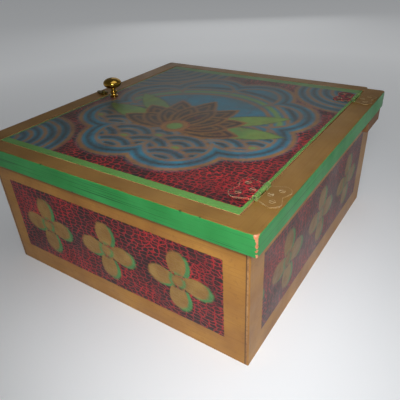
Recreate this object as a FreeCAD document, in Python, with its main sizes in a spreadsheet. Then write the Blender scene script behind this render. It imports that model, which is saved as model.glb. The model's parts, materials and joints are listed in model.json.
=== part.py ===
import FreeCAD, Part
import math
import os
import re

import Sketcher
from FreeCAD import Placement, Rotation, Vector

# A painted wooden jack in the box: a low box of boards under a frame of rails, an inset lid on two
# surface hinges, a knob and a turn button, and a sprung figure inside.
# The origin is at the middle of the underside, +X is the hinge side, -Y the front and +Z up.

# Driving sizes in millimetres, and plain counts.
SIZES = {
    # box and top frame
    "top_width": 300,
    "top_depth": 315,
    "top_thick": 18,
    "wall_height": 121,
    "wall": 9,
    "overhang": 9,
    "corner_lip": 2.5,
    "floor_thick": 6,
    "side_rail": 20,
    "end_rail": 14.5,
    "hinge_rail_short": 5,
    "block_set_back": 1,
    "block_length": 45,
    "block_drop": 13.5,
    "edge_round": 0.8,
    # lid
    "lid_gap": 1.2,
    "lid_end_gap": 0.8,
    "lid_swing_clearance": 0.4,
    "lid_round": 0.5,
    "stop_lap": 2.5,
    "stop_height": 8,
    "stop_inset": 30,
    # hinges
    "front_hinge_inset": 46.5,
    "back_hinge_inset": 45.5,
    "barrel_radius": 2,
    "barrel_lift": 0.3,
    "barrel_length": 22,
    "middle_knuckle": 10,
    "knuckle_gap": 0.3,
    "pin_radius": 0.8,
    "pin_overhang": 0.6,
    "leaf_thick": 1,
    "leaf_clearance": 0.5,
    "wing_half": 15,
    "wing_lobe": 7,
    "wing_notch": 3,
    "rail_wing": 19,
    "lid_wing": 21.5,
    "middle_screw": 7,
    # hinge screws
    "screw_radius": 1.2,
    "screw_head": 2.3,
    "screw_crown": 0.25,
    "screw_length": 12,
    "slot_width": 0.5,
    "slot_depth": 0.5,
    # knob
    "knob_catch_gap": 3,
    "knob_back": 4,
    "knob_foot": 4.5,
    "knob_foot_height": 1.4,
    "knob_stem": 2.8,
    "knob_bead": 1.3,
    "knob_bead_height": 5.6,
    "knob_head": 10.4,
    "knob_head_half": 5.9,
    "knob_height": 21.3,
    "knob_screw_radius": 1.5,
    "knob_screw_bite": 8,
    "knob_screw_head": 4,
    "knob_screw_head_height": 2.4,
    "knob_washer_radius": 5.5,
    "knob_washer_thick": 0.8,
    # catch
    "catch_set_back": 6,
    "catch_back": 5,
    "catch_arm": 10,
    "catch_tip": 2.4,
    "catch_boss": 4.4,
    "catch_thick": 1.6,
    "catch_washer_radius": 4,
    "catch_washer_thick": 0.8,
    "catch_screw_radius": 1.5,
    "catch_screw_head": 3,
    "catch_screw_crown": 1.6,
    "catch_screw_length": 14,
    # spring and its seats
    "base_margin": 4,
    "base_thick": 8,
    "base_screw_out": 8,
    "base_screw_count": 3,
    "base_screw_radius": 1.6,
    "base_screw_head": 3.4,
    "base_screw_head_height": 1.8,
    "base_screw_bite": 5,
    "spring_margin": 3.5,
    "coil_pitch": 5.3,
    "spring_flat_turns": 0.4,
    "wire_radius": 1,
    "staple_radius": 0.5,
    "staple_depth": 3,
    "staple_clearance": 0.2,
    "sleeve_radius": 44,
    "sleeve_fold_depth": 9.5,
    "sleeve_folds": 12,
    "sleeve_cloth": 2,
    "disc_margin": 4,
    "disc_thick": 5,
    # figure
    "dowel_radius": 4,
    "dowel_length": 16,
    "dowel_seat": 2.5,
    "collar_ring": 22,
    "collar_lobe": 7.5,
    "collar_lobes": 12,
    "collar_thick": 4,
    "head_radius": 22,
    "head_flat": 2,
    "nose_radius": 3.2,
    "nose_out": 1.2,
    "hat_brim_width": 3.7,
    "hat_roll": 2.5,
    "hat_brim_rise": 6,
    "hat_felt": 1.8,
    "hat_tip": 2.4,
    "hat_peak": 12,
    "pompom_radius": 4,
    "jack_headroom": 3,
    # clearances
    "screw_clearance": 0.05,
    "run_clearance": 0.05,
    "soft_clearance": 0.3,
    "hat_clearance": 0.15,
}

# Places worked out from the sizes.
WALL_X = "(top_width / 2 - overhang)"
WALL_Y = "(top_depth / 2 - overhang)"
INNER_X = "(top_width / 2 - overhang - wall)"
INNER_Y = "(top_depth / 2 - overhang - wall)"
END_WALL_X = "(top_width / 2 - overhang - corner_lip)"
RAIL_X = "(top_width / 2 - side_rail)"
RAIL_Y = "(top_depth / 2 - end_rail)"
TOP_Z = "(wall_height + top_thick)"
HINGE_X = "(top_width / 2 - side_rail - lid_gap / 2)"
HINGE_Z = "(wall_height + top_thick + barrel_lift + barrel_radius)"
HINGE_Y = {
    "front": "(front_hinge_inset - top_depth / 2)",
    "back": "(top_depth / 2 - back_hinge_inset)",
}
# The lid's free edge swings out as it rises, so it stops short of the left rail by that swing.
LID_LEFT = (f"({HINGE_X} - sqrt(({HINGE_X} + {RAIL_X} - lid_swing_clearance) ^ 2"
            " - (barrel_lift + barrel_radius + top_thick) ^ 2))")
LID_RIGHT = f"({RAIL_X} - lid_gap)"
# The knob stands clear of the turn button's arm when that is turned over the lid.
CATCH_X = f"(-{RAIL_X} - catch_set_back)"
CATCH_Y = "catch_back"
KNOB_X = f"({CATCH_X} + catch_arm + knob_catch_gap + knob_foot)"
KNOB_Y = "knob_back"
# The closed lid presses the figure down, and the spring takes the height that is left.
BASE_RADIUS = "(sleeve_radius + base_margin)"
SPRING_RADIUS = "(sleeve_radius - sleeve_fold_depth - sleeve_cloth - spring_margin - wire_radius)"
SCREW_RING = f"({SPRING_RADIUS} + base_screw_out)"
BASE_TOP = "(floor_thick + base_thick)"
POMPOM_RISE = "sqrt(pompom_radius ^ 2 - hat_tip ^ 2)"
PEAK_RISE = "(head_radius + hat_clearance + hat_peak)"
HEAD_Z = f"(wall_height - jack_headroom - pompom_radius - {POMPOM_RISE} - {PEAK_RISE})"
COLLAR_TOP = f"({HEAD_Z} - head_radius + head_flat)"
DISC_TOP = f"({COLLAR_TOP} - collar_thick)"
SPRING_TOP = f"({DISC_TOP} - disc_thick)"
SPRING_HEIGHT = f"({SPRING_TOP} - {BASE_TOP})"

X_AXIS = Vector(1, 0, 0)
Y_AXIS = Vector(0, 1, 0)
Z_AXIS = Vector(0, 0, 1)
# Angles round the spring, in turns, where staples hold its flat end coils.
STAPLE_TURNS = (0.1, 0.32)
# Places nearer than this are one place.
SAME_PLACE = 1e-6

doc = FreeCAD.newDocument("JackInTheBox")
sheet = doc.addObject("Spreadsheet::Sheet", "Sizes")
for row, (size_name, size) in enumerate(SIZES.items(), 1):
    sheet.set(f"A{row}", size_name)
    sheet.set(f"B{row}", str(size))
    sheet.setAlias(f"B{row}", size_name)
doc.recompute()

subparts = []


def bound(text):
    """An expression on the sheet, from one that uses the bare names of sizes."""
    return re.sub(r"[a-z][a-z0-9_]*", lambda word: named_cell(word.group()), text)


def named_cell(word):
    return f"Sizes.{word}" if word in SIZES else word


def number(text):
    """What an expression on the sheet comes to."""
    return float(sheet.evalExpression(text))


def bind(item, **sizes):
    for name, text in sizes.items():
        item.setExpression(name, bound(text))
    return item


def move(item, x, y, z):
    for axis, text in zip("xyz", (x, y, z)):
        item.setExpression(f"Placement.Base.{axis}", bound(text))
    return item


def subpart(item, label):
    """Mark an object as one finished piece."""
    item.Label = label
    subparts.append(item)
    return item


def block(x, y, z, length, width, height):
    """A box from its low corner."""
    item = bind(doc.addObject("Part::Box", "Block"), Length=length, Width=width, Height=height)
    return move(item, x, y, z)


def rod(x, y, z, radius, height, turn=None):
    """A cylinder that stands up from its low end, or lies along another axis with a turn."""
    item = bind(doc.addObject("Part::Cylinder", "Rod"), Radius=radius, Height=height)
    if turn:
        item.Placement = Placement(Vector(), turn)
    return move(item, x, y, z)


def cone(x, y, z, low_radius, high_radius, height):
    item = doc.addObject("Part::Cone", "Cone")
    bind(item, Radius1=low_radius, Radius2=high_radius, Height=height)
    return move(item, x, y, z)


def ball(x, y, z, radius):
    return move(bind(doc.addObject("Part::Sphere", "Ball"), Radius=radius), x, y, z)


def fuse(*pieces):
    item = doc.addObject("Part::MultiFuse", "Joined")
    item.Shapes = list(pieces)
    return item


def cut(base, *tools):
    item = doc.addObject("Part::Cut", "Trimmed")
    item.Base = base
    item.Tool = tools[0] if len(tools) == 1 else fuse(*tools)
    return item


def group(pieces):
    """Separate solids that share one piece's name."""
    item = doc.addObject("Part::Compound", "Group")
    item.Links = list(pieces)
    return item


def outline(body, role, corners):
    """A closed sketch on one of the body's own planes.

    A corner is (x, y), with a straight side to the next corner, or (x, y, centre x, centre y, sense),
    with an arc to it: sense 1 is counter-clockwise and -1 clockwise.
    """
    sketch = body.newObject("Sketcher::SketchObject", "Outline")
    plane = next(item for item in body.Origin.OriginFeatures if item.Role == role)
    sketch.AttachmentSupport = [(plane, "")]
    sketch.MapMode = "FlatFace"
    places = [Vector(number(corner[0]), number(corner[1]), 0) for corner in corners]
    sides = []
    for index, corner in enumerate(corners):
        start = places[index]
        end = places[(index + 1) % len(corners)]
        if len(corner) == 2:
            geometry = sketch.addGeometry(Part.LineSegment(start, end))
            sides.append((geometry, 1, 2))
            continue
        centre = Vector(number(corner[2]), number(corner[3]), 0)
        first, last = (start, end) if corner[4] > 0 else (end, start)
        circle = Part.Circle(centre, Z_AXIS, (start - centre).Length)
        angles = [math.atan2(point.y - centre.y, point.x - centre.x) for point in (first, last)]
        geometry = sketch.addGeometry(Part.ArcOfCircle(circle, *angles))
        sides.append((geometry, 1, 2) if corner[4] > 0 else (geometry, 2, 1))

    def hold(kind, name, geometry, point, text):
        rule = Sketcher.Constraint(kind, -1, 1, geometry, point, number(text))
        index = sketch.addConstraint(rule)
        sketch.renameConstraint(index, name)
        sketch.setExpression(f"Constraints.{name}", bound(text))

    for index, corner in enumerate(corners):
        geometry, start_point, end_point = sides[index]
        following, next_start, next_end = sides[(index + 1) % len(corners)]
        sketch.addConstraint(Sketcher.Constraint("Coincident", geometry, end_point, following, next_start))
        before = corners[index - 1]
        axes = "xy"
        if len(before) > 2:
            # An arc already holds its far end to a circle, so one coordinate is enough there.
            across = abs(places[index].x - number(before[2]))
            along = abs(places[index].y - number(before[3]))
            axes = "x" if along > across else "y"
        for axis in axes:
            text = corner["xy".index(axis)]
            hold(f"Distance{axis.upper()}", f"corner_{axis}{index}", geometry, start_point, text)
        if len(corner) > 2:
            hold("DistanceX", f"centre_x{index}", geometry, 3, corner[2])
            hold("DistanceY", f"centre_y{index}", geometry, 3, corner[3])
    return sketch


def turned(corners):
    """A body of revolution about Z from an outline of (radius, height) corners."""
    body = doc.addObject("PartDesign::Body", "Turned")
    sketch = outline(body, "XZ_Plane", corners)
    feature = body.newObject("PartDesign::Revolution", "Revolution")
    feature.Profile = sketch
    feature.ReferenceAxis = (sketch, ["V_Axis"])
    feature.Angle = 360
    return body


def plate(corners, thick):
    """A flat body of one thickness, up from its own XY plane."""
    body = doc.addObject("PartDesign::Body", "Plate")
    sketch = outline(body, "XY_Plane", corners)
    feature = body.newObject("PartDesign::Pad", "Pad")
    feature.Profile = sketch
    bind(feature, Length=thick)
    return body


def sides_of(place, box):
    """Names of the sides of a box that a place lies on."""
    sides = {
        "left": place.x - box.XMin,
        "right": place.x - box.XMax,
        "front": place.y - box.YMin,
        "back": place.y - box.YMax,
        "bottom": place.z - box.ZMin,
        "top": place.z - box.ZMax,
    }
    return {name for name, distance in sides.items() if abs(distance) < SAME_PLACE}


def board(low_corner, size, radius, eased):
    """A box from its low corner with some edges rounded over, each named by the sides it lies between."""
    length, width, height = size
    body = plate([("0", "0"), (length, "0"), (length, width), ("0", width)], height)
    doc.recompute()
    pad = body.Tip
    wanted = [set(name.split()) for name in eased]
    edges = []
    for index, edge in enumerate(pad.Shape.Edges, 1):
        if sides_of(edge.BoundBox.Center, pad.Shape.BoundBox) in wanted:
            edges.append(f"Edge{index}")
    rounding = body.newObject("PartDesign::Fillet", "Rounding")
    rounding.Base = (pad, edges)
    bind(rounding, Radius=radius)
    return move(body, *low_corner)


def walls_and_floor():
    """Side walls run the full depth, and their thin lips close over the ends of the front and back walls."""
    for label, side in (("left_wall", -1), ("right_wall", 1)):
        low_x = INNER_X if side > 0 else f"(-{WALL_X})"
        rebate_x = INNER_X if side > 0 else f"(-{END_WALL_X})"
        outside = "right" if side > 0 else "left"
        wall_board = board((low_x, f"-{WALL_Y}", "0"), ("wall", f"2 * {WALL_Y}", "wall_height"),
                           "edge_round", [f"{outside} front", f"{outside} back"])
        rebates = []
        for end_y in (f"-{WALL_Y}", INNER_Y):
            rebates.append(block(rebate_x, end_y, "0", "wall - corner_lip", "wall", "wall_height"))
        subpart(cut(wall_board, *rebates), label)
    for label, low_y in (("front_wall", f"-{WALL_Y}"), ("back_wall", INNER_Y)):
        end_board = block(f"-{END_WALL_X}", low_y, "0", f"2 * {END_WALL_X}", "wall", "wall_height")
        subpart(end_board, label)
    panel = block(f"-{INNER_X}", f"-{INNER_Y}", "0", f"2 * {INNER_X}", f"2 * {INNER_Y}", "floor_thick")
    holes = []
    for x, y in base_screw_places():
        holes.append(rod(x, y, "0", "base_screw_radius + screw_clearance", "floor_thick"))
        holes.append(cone(x, y, "0", "base_screw_head + screw_clearance",
                          "base_screw_radius + screw_clearance", "base_screw_head_height"))
    subpart(cut(panel, *holes), "floor_panel")


def rails_and_lid():
    """Side rails run the full depth, end rails butt between them, and the lid drops in flush."""
    rail_ends = ["front top", "front bottom", "back top", "back bottom"]
    left = board(("-top_width / 2", "-top_depth / 2", "wall_height"),
                 ("side_rail", "top_depth", "top_thick"),
                 "edge_round", ["left top", "left bottom", "left front", "left back", *rail_ends])
    catch_hole = rod(CATCH_X, CATCH_Y, f"{TOP_Z} - catch_screw_length",
                     "catch_screw_radius + screw_clearance", "catch_screw_length")
    subpart(cut(left, catch_hole), "left_rail")
    right = board((RAIL_X, "-top_depth / 2", "wall_height"),
                  ("side_rail", "top_depth - hinge_rail_short", "top_thick"),
                  "edge_round", ["right top", "right bottom", "right front", "right back", *rail_ends])
    subpart(cut(right, *hinge_screw_holes(1)), "hinge_rail")
    for end, low_y in (("front", "-top_depth / 2"), ("back", RAIL_Y)):
        rail = board((f"-{RAIL_X}", low_y, "wall_height"), (f"2 * {RAIL_X}", "end_rail", "top_thick"),
                     "edge_round", [f"{end} top", f"{end} bottom"])
        subpart(rail, f"{end}_rail")
    batten = block(WALL_X, f"{WALL_Y} - block_length", "wall_height - block_drop",
                   "overhang - block_set_back", "block_length", "block_drop")
    subpart(batten, "rail_block")
    panel = board((LID_LEFT, f"-{RAIL_Y} + lid_end_gap", "wall_height"),
                  (f"{LID_RIGHT} - {LID_LEFT}", f"2 * {RAIL_Y} - 2 * lid_end_gap", "top_thick"),
                  "lid_round", ["left top", "right top", "front top", "back top"])
    knob_hole = rod(KNOB_X, KNOB_Y, "wall_height", "knob_screw_radius + screw_clearance", "top_thick")
    subpart(cut(panel, knob_hole, *hinge_screw_holes(-1)), "lid_panel")
    # A strip inside the left wall keeps the closed lid's free edge from dropping in.
    stop = block(f"-{INNER_X}", f"-{INNER_Y} + stop_inset", "wall_height - stop_height",
                 f"{LID_LEFT} + stop_lap + {INNER_X}", f"2 * {INNER_Y} - 2 * stop_inset", "stop_height")
    subpart(stop, "lid_stop")


def wing_screws(side):
    """Places of a leaf's three screws from the middle of its hinge: side 1 on the rail, -1 on the lid."""
    wing = "rail_wing" if side > 0 else "lid_wing"
    lobe = f"{side} * ({wing} - wing_lobe)"
    return [
        (lobe, "-(wing_half - wing_lobe)"),
        (lobe, "(wing_half - wing_lobe)"),
        (f"{side} * middle_screw", "0"),
    ]


def hinge_screw_places(side):
    places = []
    for hinge_y in HINGE_Y.values():
        for x, y in wing_screws(side):
            places.append((f"{HINGE_X} + {x}", f"{hinge_y} + {y}"))
    return places


def hinge_screw_holes(side):
    holes = []
    for x, y in hinge_screw_places(side):
        holes.append(rod(x, y, f"{TOP_Z} - screw_length", "screw_radius + screw_clearance", "screw_length"))
    return holes


def hinge_screw(x, y):
    """A raised countersunk wood screw whose head fills the leaf's thickness."""
    shank = rod(x, y, f"{TOP_Z} - screw_length", "screw_radius", "screw_length")
    head = cone(x, y, TOP_Z, "screw_radius", "screw_head", "leaf_thick")
    crown = rod(x, y, f"{TOP_Z} + leaf_thick", "screw_head", "screw_crown")
    slot = block(f"{x} - screw_head", f"{y} - slot_width / 2",
                 f"{TOP_Z} + leaf_thick + screw_crown - slot_depth",
                 "2 * screw_head", "slot_width", "slot_depth")
    return cut(fuse(shank, head, crown), slot)


def hinge_leaf(name, side):
    """One butterfly leaf: a flared plate on the surface, with its knuckles round the pin."""
    wing = "rail_wing" if side > 0 else "lid_wing"
    root = f"{side} * (barrel_radius + leaf_clearance)"
    lobe_x = f"{side} * ({wing} - wing_lobe)"
    tip_x = f"{side} * {wing}"
    lobe_y = "(wing_half - wing_lobe)"
    neck_y = "barrel_length / 2"
    flat = plate([
        (root, f"-{neck_y}"),
        (lobe_x, "-wing_half", lobe_x, f"-{lobe_y}", side),
        (tip_x, f"-{lobe_y}"),
        (f"{side} * ({wing} - wing_notch)", "0"),
        (tip_x, lobe_y, lobe_x, lobe_y, side),
        (lobe_x, "wing_half"),
        (root, neck_y),
    ], "leaf_thick")
    hinge_y = HINGE_Y[name]
    move(flat, HINGE_X, hinge_y, TOP_Z)
    outer = "((barrel_length - middle_knuckle) / 2 - knuckle_gap)"
    if side > 0:
        knuckles = [("-barrel_length / 2", outer), ("(middle_knuckle / 2 + knuckle_gap)", outer)]
    else:
        knuckles = [("-middle_knuckle / 2", "middle_knuckle")]
    pieces = [flat]
    along_y = Rotation(X_AXIS, -90)
    web = "(barrel_radius + 2 * leaf_clearance)"
    for start, length in knuckles:
        low_y = f"{hinge_y} + {start}"
        pieces.append(rod(HINGE_X, low_y, HINGE_Z, "barrel_radius", length, along_y))
        low_x = HINGE_X if side > 0 else f"{HINGE_X} - {web}"
        pieces.append(block(low_x, low_y, TOP_Z, web, length, "leaf_thick"))
    bore = rod(HINGE_X, f"{hinge_y} - barrel_length / 2", HINGE_Z, "pin_radius + run_clearance",
               "barrel_length", along_y)
    holes = [bore]
    for x, y in wing_screws(side):
        holes.append(cone(f"{HINGE_X} + {x}", f"{hinge_y} + {y}", TOP_Z,
                          "screw_radius + screw_clearance", "screw_head + screw_clearance", "leaf_thick"))
    return cut(fuse(*pieces), *holes)


def hinges():
    pins = []
    for name, hinge_y in HINGE_Y.items():
        subpart(hinge_leaf(name, 1), f"{name}_hinge_rail_leaf")
        subpart(hinge_leaf(name, -1), f"{name}_hinge_lid_leaf")
        low_y = f"{hinge_y} - barrel_length / 2 - pin_overhang"
        pins.append(rod(HINGE_X, low_y, HINGE_Z, "pin_radius", "barrel_length + 2 * pin_overhang",
                        Rotation(X_AXIS, -90)))
    subpart(group(pins), "hinge_pins")
    for label, side in (("rail_leaf_screws", 1), ("lid_leaf_screws", -1)):
        subpart(group([hinge_screw(x, y) for x, y in hinge_screw_places(side)]), label)


def knob():
    """A turned brass knob with a flattened head and a beaded stem, held by a screw from under the lid."""
    cove = "(knob_foot - knob_stem)"
    stem_top = "(knob_height - knob_head_half)"
    stem = turned([
        ("0", "0"),
        ("knob_foot", "0"),
        ("knob_foot", "knob_foot_height", "knob_foot", f"knob_foot_height + {cove}", -1),
        ("knob_stem", f"knob_foot_height + {cove}"),
        ("knob_stem", "knob_bead_height - knob_bead", "knob_stem", "knob_bead_height", 1),
        ("knob_stem", "knob_bead_height + knob_bead"),
        ("knob_stem", stem_top),
        ("0", stem_top),
    ])
    move(stem, KNOB_X, KNOB_Y, TOP_Z)
    head = doc.addObject("Part::Ellipsoid", "Head")
    bind(head, Radius1="knob_head_half", Radius2="knob_head", Radius3="knob_head")
    move(head, KNOB_X, KNOB_Y, f"{TOP_Z} + knob_height - knob_head_half")
    hole = rod(KNOB_X, KNOB_Y, TOP_Z, "knob_screw_radius + screw_clearance", "knob_screw_bite")
    subpart(cut(fuse(stem, head), hole), "lid_knob")
    washer_z = "wall_height - knob_washer_thick"
    washer = rod(KNOB_X, KNOB_Y, washer_z, "knob_washer_radius", "knob_washer_thick")
    bore = rod(KNOB_X, KNOB_Y, washer_z, "knob_screw_radius + screw_clearance", "knob_washer_thick")
    subpart(cut(washer, bore), "knob_washer")
    head_z = f"{washer_z} - knob_screw_head_height"
    shank = rod(KNOB_X, KNOB_Y, washer_z, "knob_screw_radius",
                "knob_washer_thick + top_thick + knob_screw_bite")
    pan = rod(KNOB_X, KNOB_Y, head_z, "knob_screw_head", "knob_screw_head_height")
    slot = block(f"{KNOB_X} - knob_screw_head", f"{KNOB_Y} - slot_width / 2", head_z,
                 "2 * knob_screw_head", "slot_width", "slot_depth")
    subpart(cut(fuse(shank, pan), slot), "knob_screw")


def catch():
    """A turn button beside the lid: its arm points away here, and half a turn brings it over the lid."""
    washer = rod(CATCH_X, CATCH_Y, TOP_Z, "catch_washer_radius", "catch_washer_thick")
    bore = rod(CATCH_X, CATCH_Y, TOP_Z, "catch_screw_radius + screw_clearance", "catch_washer_thick")
    subpart(cut(washer, bore), "catch_washer")
    button_z = f"{TOP_Z} + catch_washer_thick"
    tip = "-(catch_arm - catch_tip)"
    button = plate([
        ("0", "-catch_boss"),
        (tip, "-catch_tip", tip, "0", -1),
        (tip, "catch_tip"),
        ("0", "catch_boss", "0", "0", -1),
    ], "catch_thick")
    move(button, CATCH_X, CATCH_Y, button_z)
    bore = rod(CATCH_X, CATCH_Y, button_z, "catch_screw_radius + run_clearance", "catch_thick")
    subpart(cut(button, bore), "catch_button")
    crown_z = f"({button_z} + catch_thick + run_clearance)"
    shank = rod(CATCH_X, CATCH_Y, f"{TOP_Z} - catch_screw_length", "catch_screw_radius",
                "catch_screw_length + catch_washer_thick + catch_thick + run_clearance")
    # The round head is the cap of a ball that stands catch_screw_crown high on its head's width.
    crown_ball = "((catch_screw_head ^ 2 + catch_screw_crown ^ 2) / (2 * catch_screw_crown))"
    cap = doc.addObject("Part::Common", "Cap")
    cap.Base = ball(CATCH_X, CATCH_Y, f"{crown_z} + catch_screw_crown - {crown_ball}", crown_ball)
    cap.Tool = rod(CATCH_X, CATCH_Y, crown_z, "catch_screw_head", "catch_screw_crown")
    slot = block(f"{CATCH_X} - catch_screw_head", f"{CATCH_Y} - slot_width / 2",
                 f"{crown_z} + catch_screw_crown - slot_depth",
                 "2 * catch_screw_head", "slot_width", "slot_depth")
    subpart(cut(fuse(shank, cap), slot), "catch_screw")


def base_screw_places():
    count = int(number("base_screw_count"))
    places = []
    for index in range(count):
        angle = 2 * math.pi * index / count
        places.append((f"{SCREW_RING} * {math.cos(angle):.9f}", f"{SCREW_RING} * {math.sin(angle):.9f}"))
    return places


def spring_turns():
    """Whole turns that fit in the closed spring's height, each at least a coil pitch high."""
    return int(number(f"{SPRING_HEIGHT} / coil_pitch"))


def spring_line(turn):
    """Middle of the spring's wire at a number of turns: flat end coils with an even rise between them."""
    flat = number("spring_flat_turns")
    climb = spring_turns() - 2 * flat
    share = min(max((turn - flat) / climb, 0), 1)
    low = number(f"{BASE_TOP} + wire_radius")
    rise = number(f"{SPRING_HEIGHT} - 2 * wire_radius")
    radius = number(SPRING_RADIUS)
    angle = 2 * math.pi * turn
    return Vector(radius * math.cos(angle), radius * math.sin(angle), low + rise * share)


def spring_heading(turn):
    step = 0.05  # turns
    return (spring_line(turn + step) - spring_line(turn - step)).normalize()


def arc_between(start, end, corner):
    """The arc that leaves start towards corner and arrives at end from it."""
    chord_middle = (start + end) * 0.5
    half_chord = (end - start).Length / 2
    reach = corner - chord_middle
    quarter_turn = math.atan2(reach.Length, half_chord) / 2
    middle = chord_middle + reach.normalize() * (half_chord * math.tan(quarter_turn))
    return Part.Arc(start, middle, end).toShape()


def spring():
    """One round wire on pairs of arcs, a pair to each quarter turn, with short straight ends."""
    pairs_per_turn = 4
    count = spring_turns() * pairs_per_turn
    turns = [index / pairs_per_turn for index in range(count + 1)]
    wire_radius = number("wire_radius")
    edges = []
    first, first_heading = spring_line(turns[0]), spring_heading(turns[0])
    first_heading.z = 0
    first_heading.normalize()
    tail = first - first_heading * (2 * wire_radius)
    edges.append(Part.LineSegment(tail, first).toShape())
    place, heading = first, first_heading
    for turn in turns[1:]:
        next_place, next_heading = spring_line(turn), spring_heading(turn)
        if turn == turns[-1]:
            next_heading.z = 0
            next_heading.normalize()
        span = next_place - place
        spread = heading + next_heading
        bend = 2 * (1 - heading.dot(next_heading))
        ahead = span.dot(spread)
        reach = (math.sqrt(ahead ** 2 + bend * span.dot(span)) - ahead) / bend
        corner = place + heading * reach
        far_corner = next_place - next_heading * reach
        middle = (corner + far_corner) * 0.5
        edges.append(arc_between(place, middle, corner))
        edges.append(arc_between(middle, next_place, far_corner))
        place, heading = next_place, next_heading
    end = place + heading * (2 * wire_radius)
    edges.append(Part.LineSegment(place, end).toShape())
    path = Part.Wire(edges)
    section = Part.Wire(Part.makeCircle(wire_radius, tail, first_heading))
    item = doc.addObject("Part::Feature", "Spring")
    item.Shape = path.makePipeShell([section], True, False)
    print_spring_gap(path, spring_turns())
    subpart(item, "jack_spring")


def print_spring_gap(path, turns):
    """Print the least gap between the spring's own turns, measured on points along the wire."""
    points_per_turn = 48
    points = path.discretize(Number=turns * points_per_turn)
    apart = points_per_turn // 2
    least = min(
        (points[index] - other).Length
        for index in range(len(points))
        for other in points[index + apart:]
    )
    print(f"spring gap to itself {least - 2 * number('wire_radius'):.2f} mm")


def staple_places(inward):
    """Leg and bar places of the staples on one end coil; inward is -1 into the base and 1 into the disc."""
    places = []
    for turn in STAPLE_TURNS:
        at = turn if inward < 0 else -turn
        angle = 2 * math.pi * at
        legs = []
        for edge in (-1, 1):
            radius = f"({SPRING_RADIUS} + {edge} * (wire_radius + staple_clearance + staple_radius))"
            legs.append((f"{radius} * {math.cos(angle):.9f}", f"{radius} * {math.sin(angle):.9f}"))
        places.append((math.degrees(angle), legs))
    return places


def staples(seat, inward):
    """Wire staples over an end coil, with their legs in the wood."""
    items = []
    height = "(2 * wire_radius + staple_clearance + staple_radius)"
    for degrees, legs in staple_places(inward):
        low_z = f"{seat} - staple_depth" if inward < 0 else f"{seat} - {height}"
        pieces = [rod(x, y, low_z, "staple_radius", f"staple_depth + {height}") for x, y in legs]
        bar_z = f"{seat} + {height}" if inward < 0 else f"{seat} - {height}"
        out = Rotation(Z_AXIS, degrees) * Rotation(Y_AXIS, 90)
        reach = "2 * (wire_radius + staple_clearance + staple_radius)"
        bar = rod(*legs[0], bar_z, "staple_radius", reach, out)
        knees = [ball(x, y, bar_z, "staple_radius") for x, y in legs]
        items.append(fuse(*pieces, bar, *knees))
    return group(items)


def staple_holes(seat, inward):
    holes = []
    for _, legs in staple_places(inward):
        low_z = f"{seat} - staple_depth" if inward < 0 else seat
        for x, y in legs:
            holes.append(rod(x, y, low_z, "staple_radius + screw_clearance", "staple_depth"))
    return holes


def spring_seats():
    """The base under the spring, its screws through the floor, and the disc that the spring carries."""
    seat = rod("0", "0", "floor_thick", BASE_RADIUS, "base_thick")
    holes = []
    screws = []
    for x, y in base_screw_places():
        holes.append(rod(x, y, "floor_thick", "base_screw_radius + screw_clearance", "base_screw_bite"))
        head = cone(x, y, "0", "base_screw_head", "base_screw_radius", "base_screw_head_height")
        shank = rod(x, y, "0", "base_screw_radius", "floor_thick + base_screw_bite")
        slot = block(f"{x} - base_screw_head", f"{y} - slot_width / 2", "0",
                     "2 * base_screw_head", "slot_width", "slot_depth")
        screws.append(cut(fuse(head, shank), slot))
    subpart(cut(seat, *holes, *staple_holes(BASE_TOP, -1)), "spring_base")
    subpart(group(screws), "base_screws")
    subpart(staples(BASE_TOP, -1), "base_staples")
    disc = rod("0", "0", SPRING_TOP, "sleeve_radius - disc_margin", "disc_thick")
    dowel_hole = rod("0", "0", f"{DISC_TOP} - dowel_seat", "dowel_radius + screw_clearance", "dowel_seat")
    subpart(cut(disc, dowel_hole, *staple_holes(SPRING_TOP, 1)), "neck_disc")
    subpart(staples(SPRING_TOP, 1), "disc_staples")


def sleeve():
    """The cloth cover over the spring, pressed into concertina folds."""
    folds = int(number("sleeve_folds"))
    low = f"({BASE_TOP} + soft_clearance)"
    height = f"({SPRING_HEIGHT} - 2 * soft_clearance)"
    outside = []
    for index in range(2 * folds + 1):
        radius = "sleeve_radius" if index % 2 == 0 else "(sleeve_radius - sleeve_fold_depth)"
        outside.append((radius, f"{low} + {height} * {index} / {2 * folds}"))
    inside = [(f"{radius} - sleeve_cloth", z) for radius, z in reversed(outside)]
    subpart(turned(outside + inside), "jack_sleeve")


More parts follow.
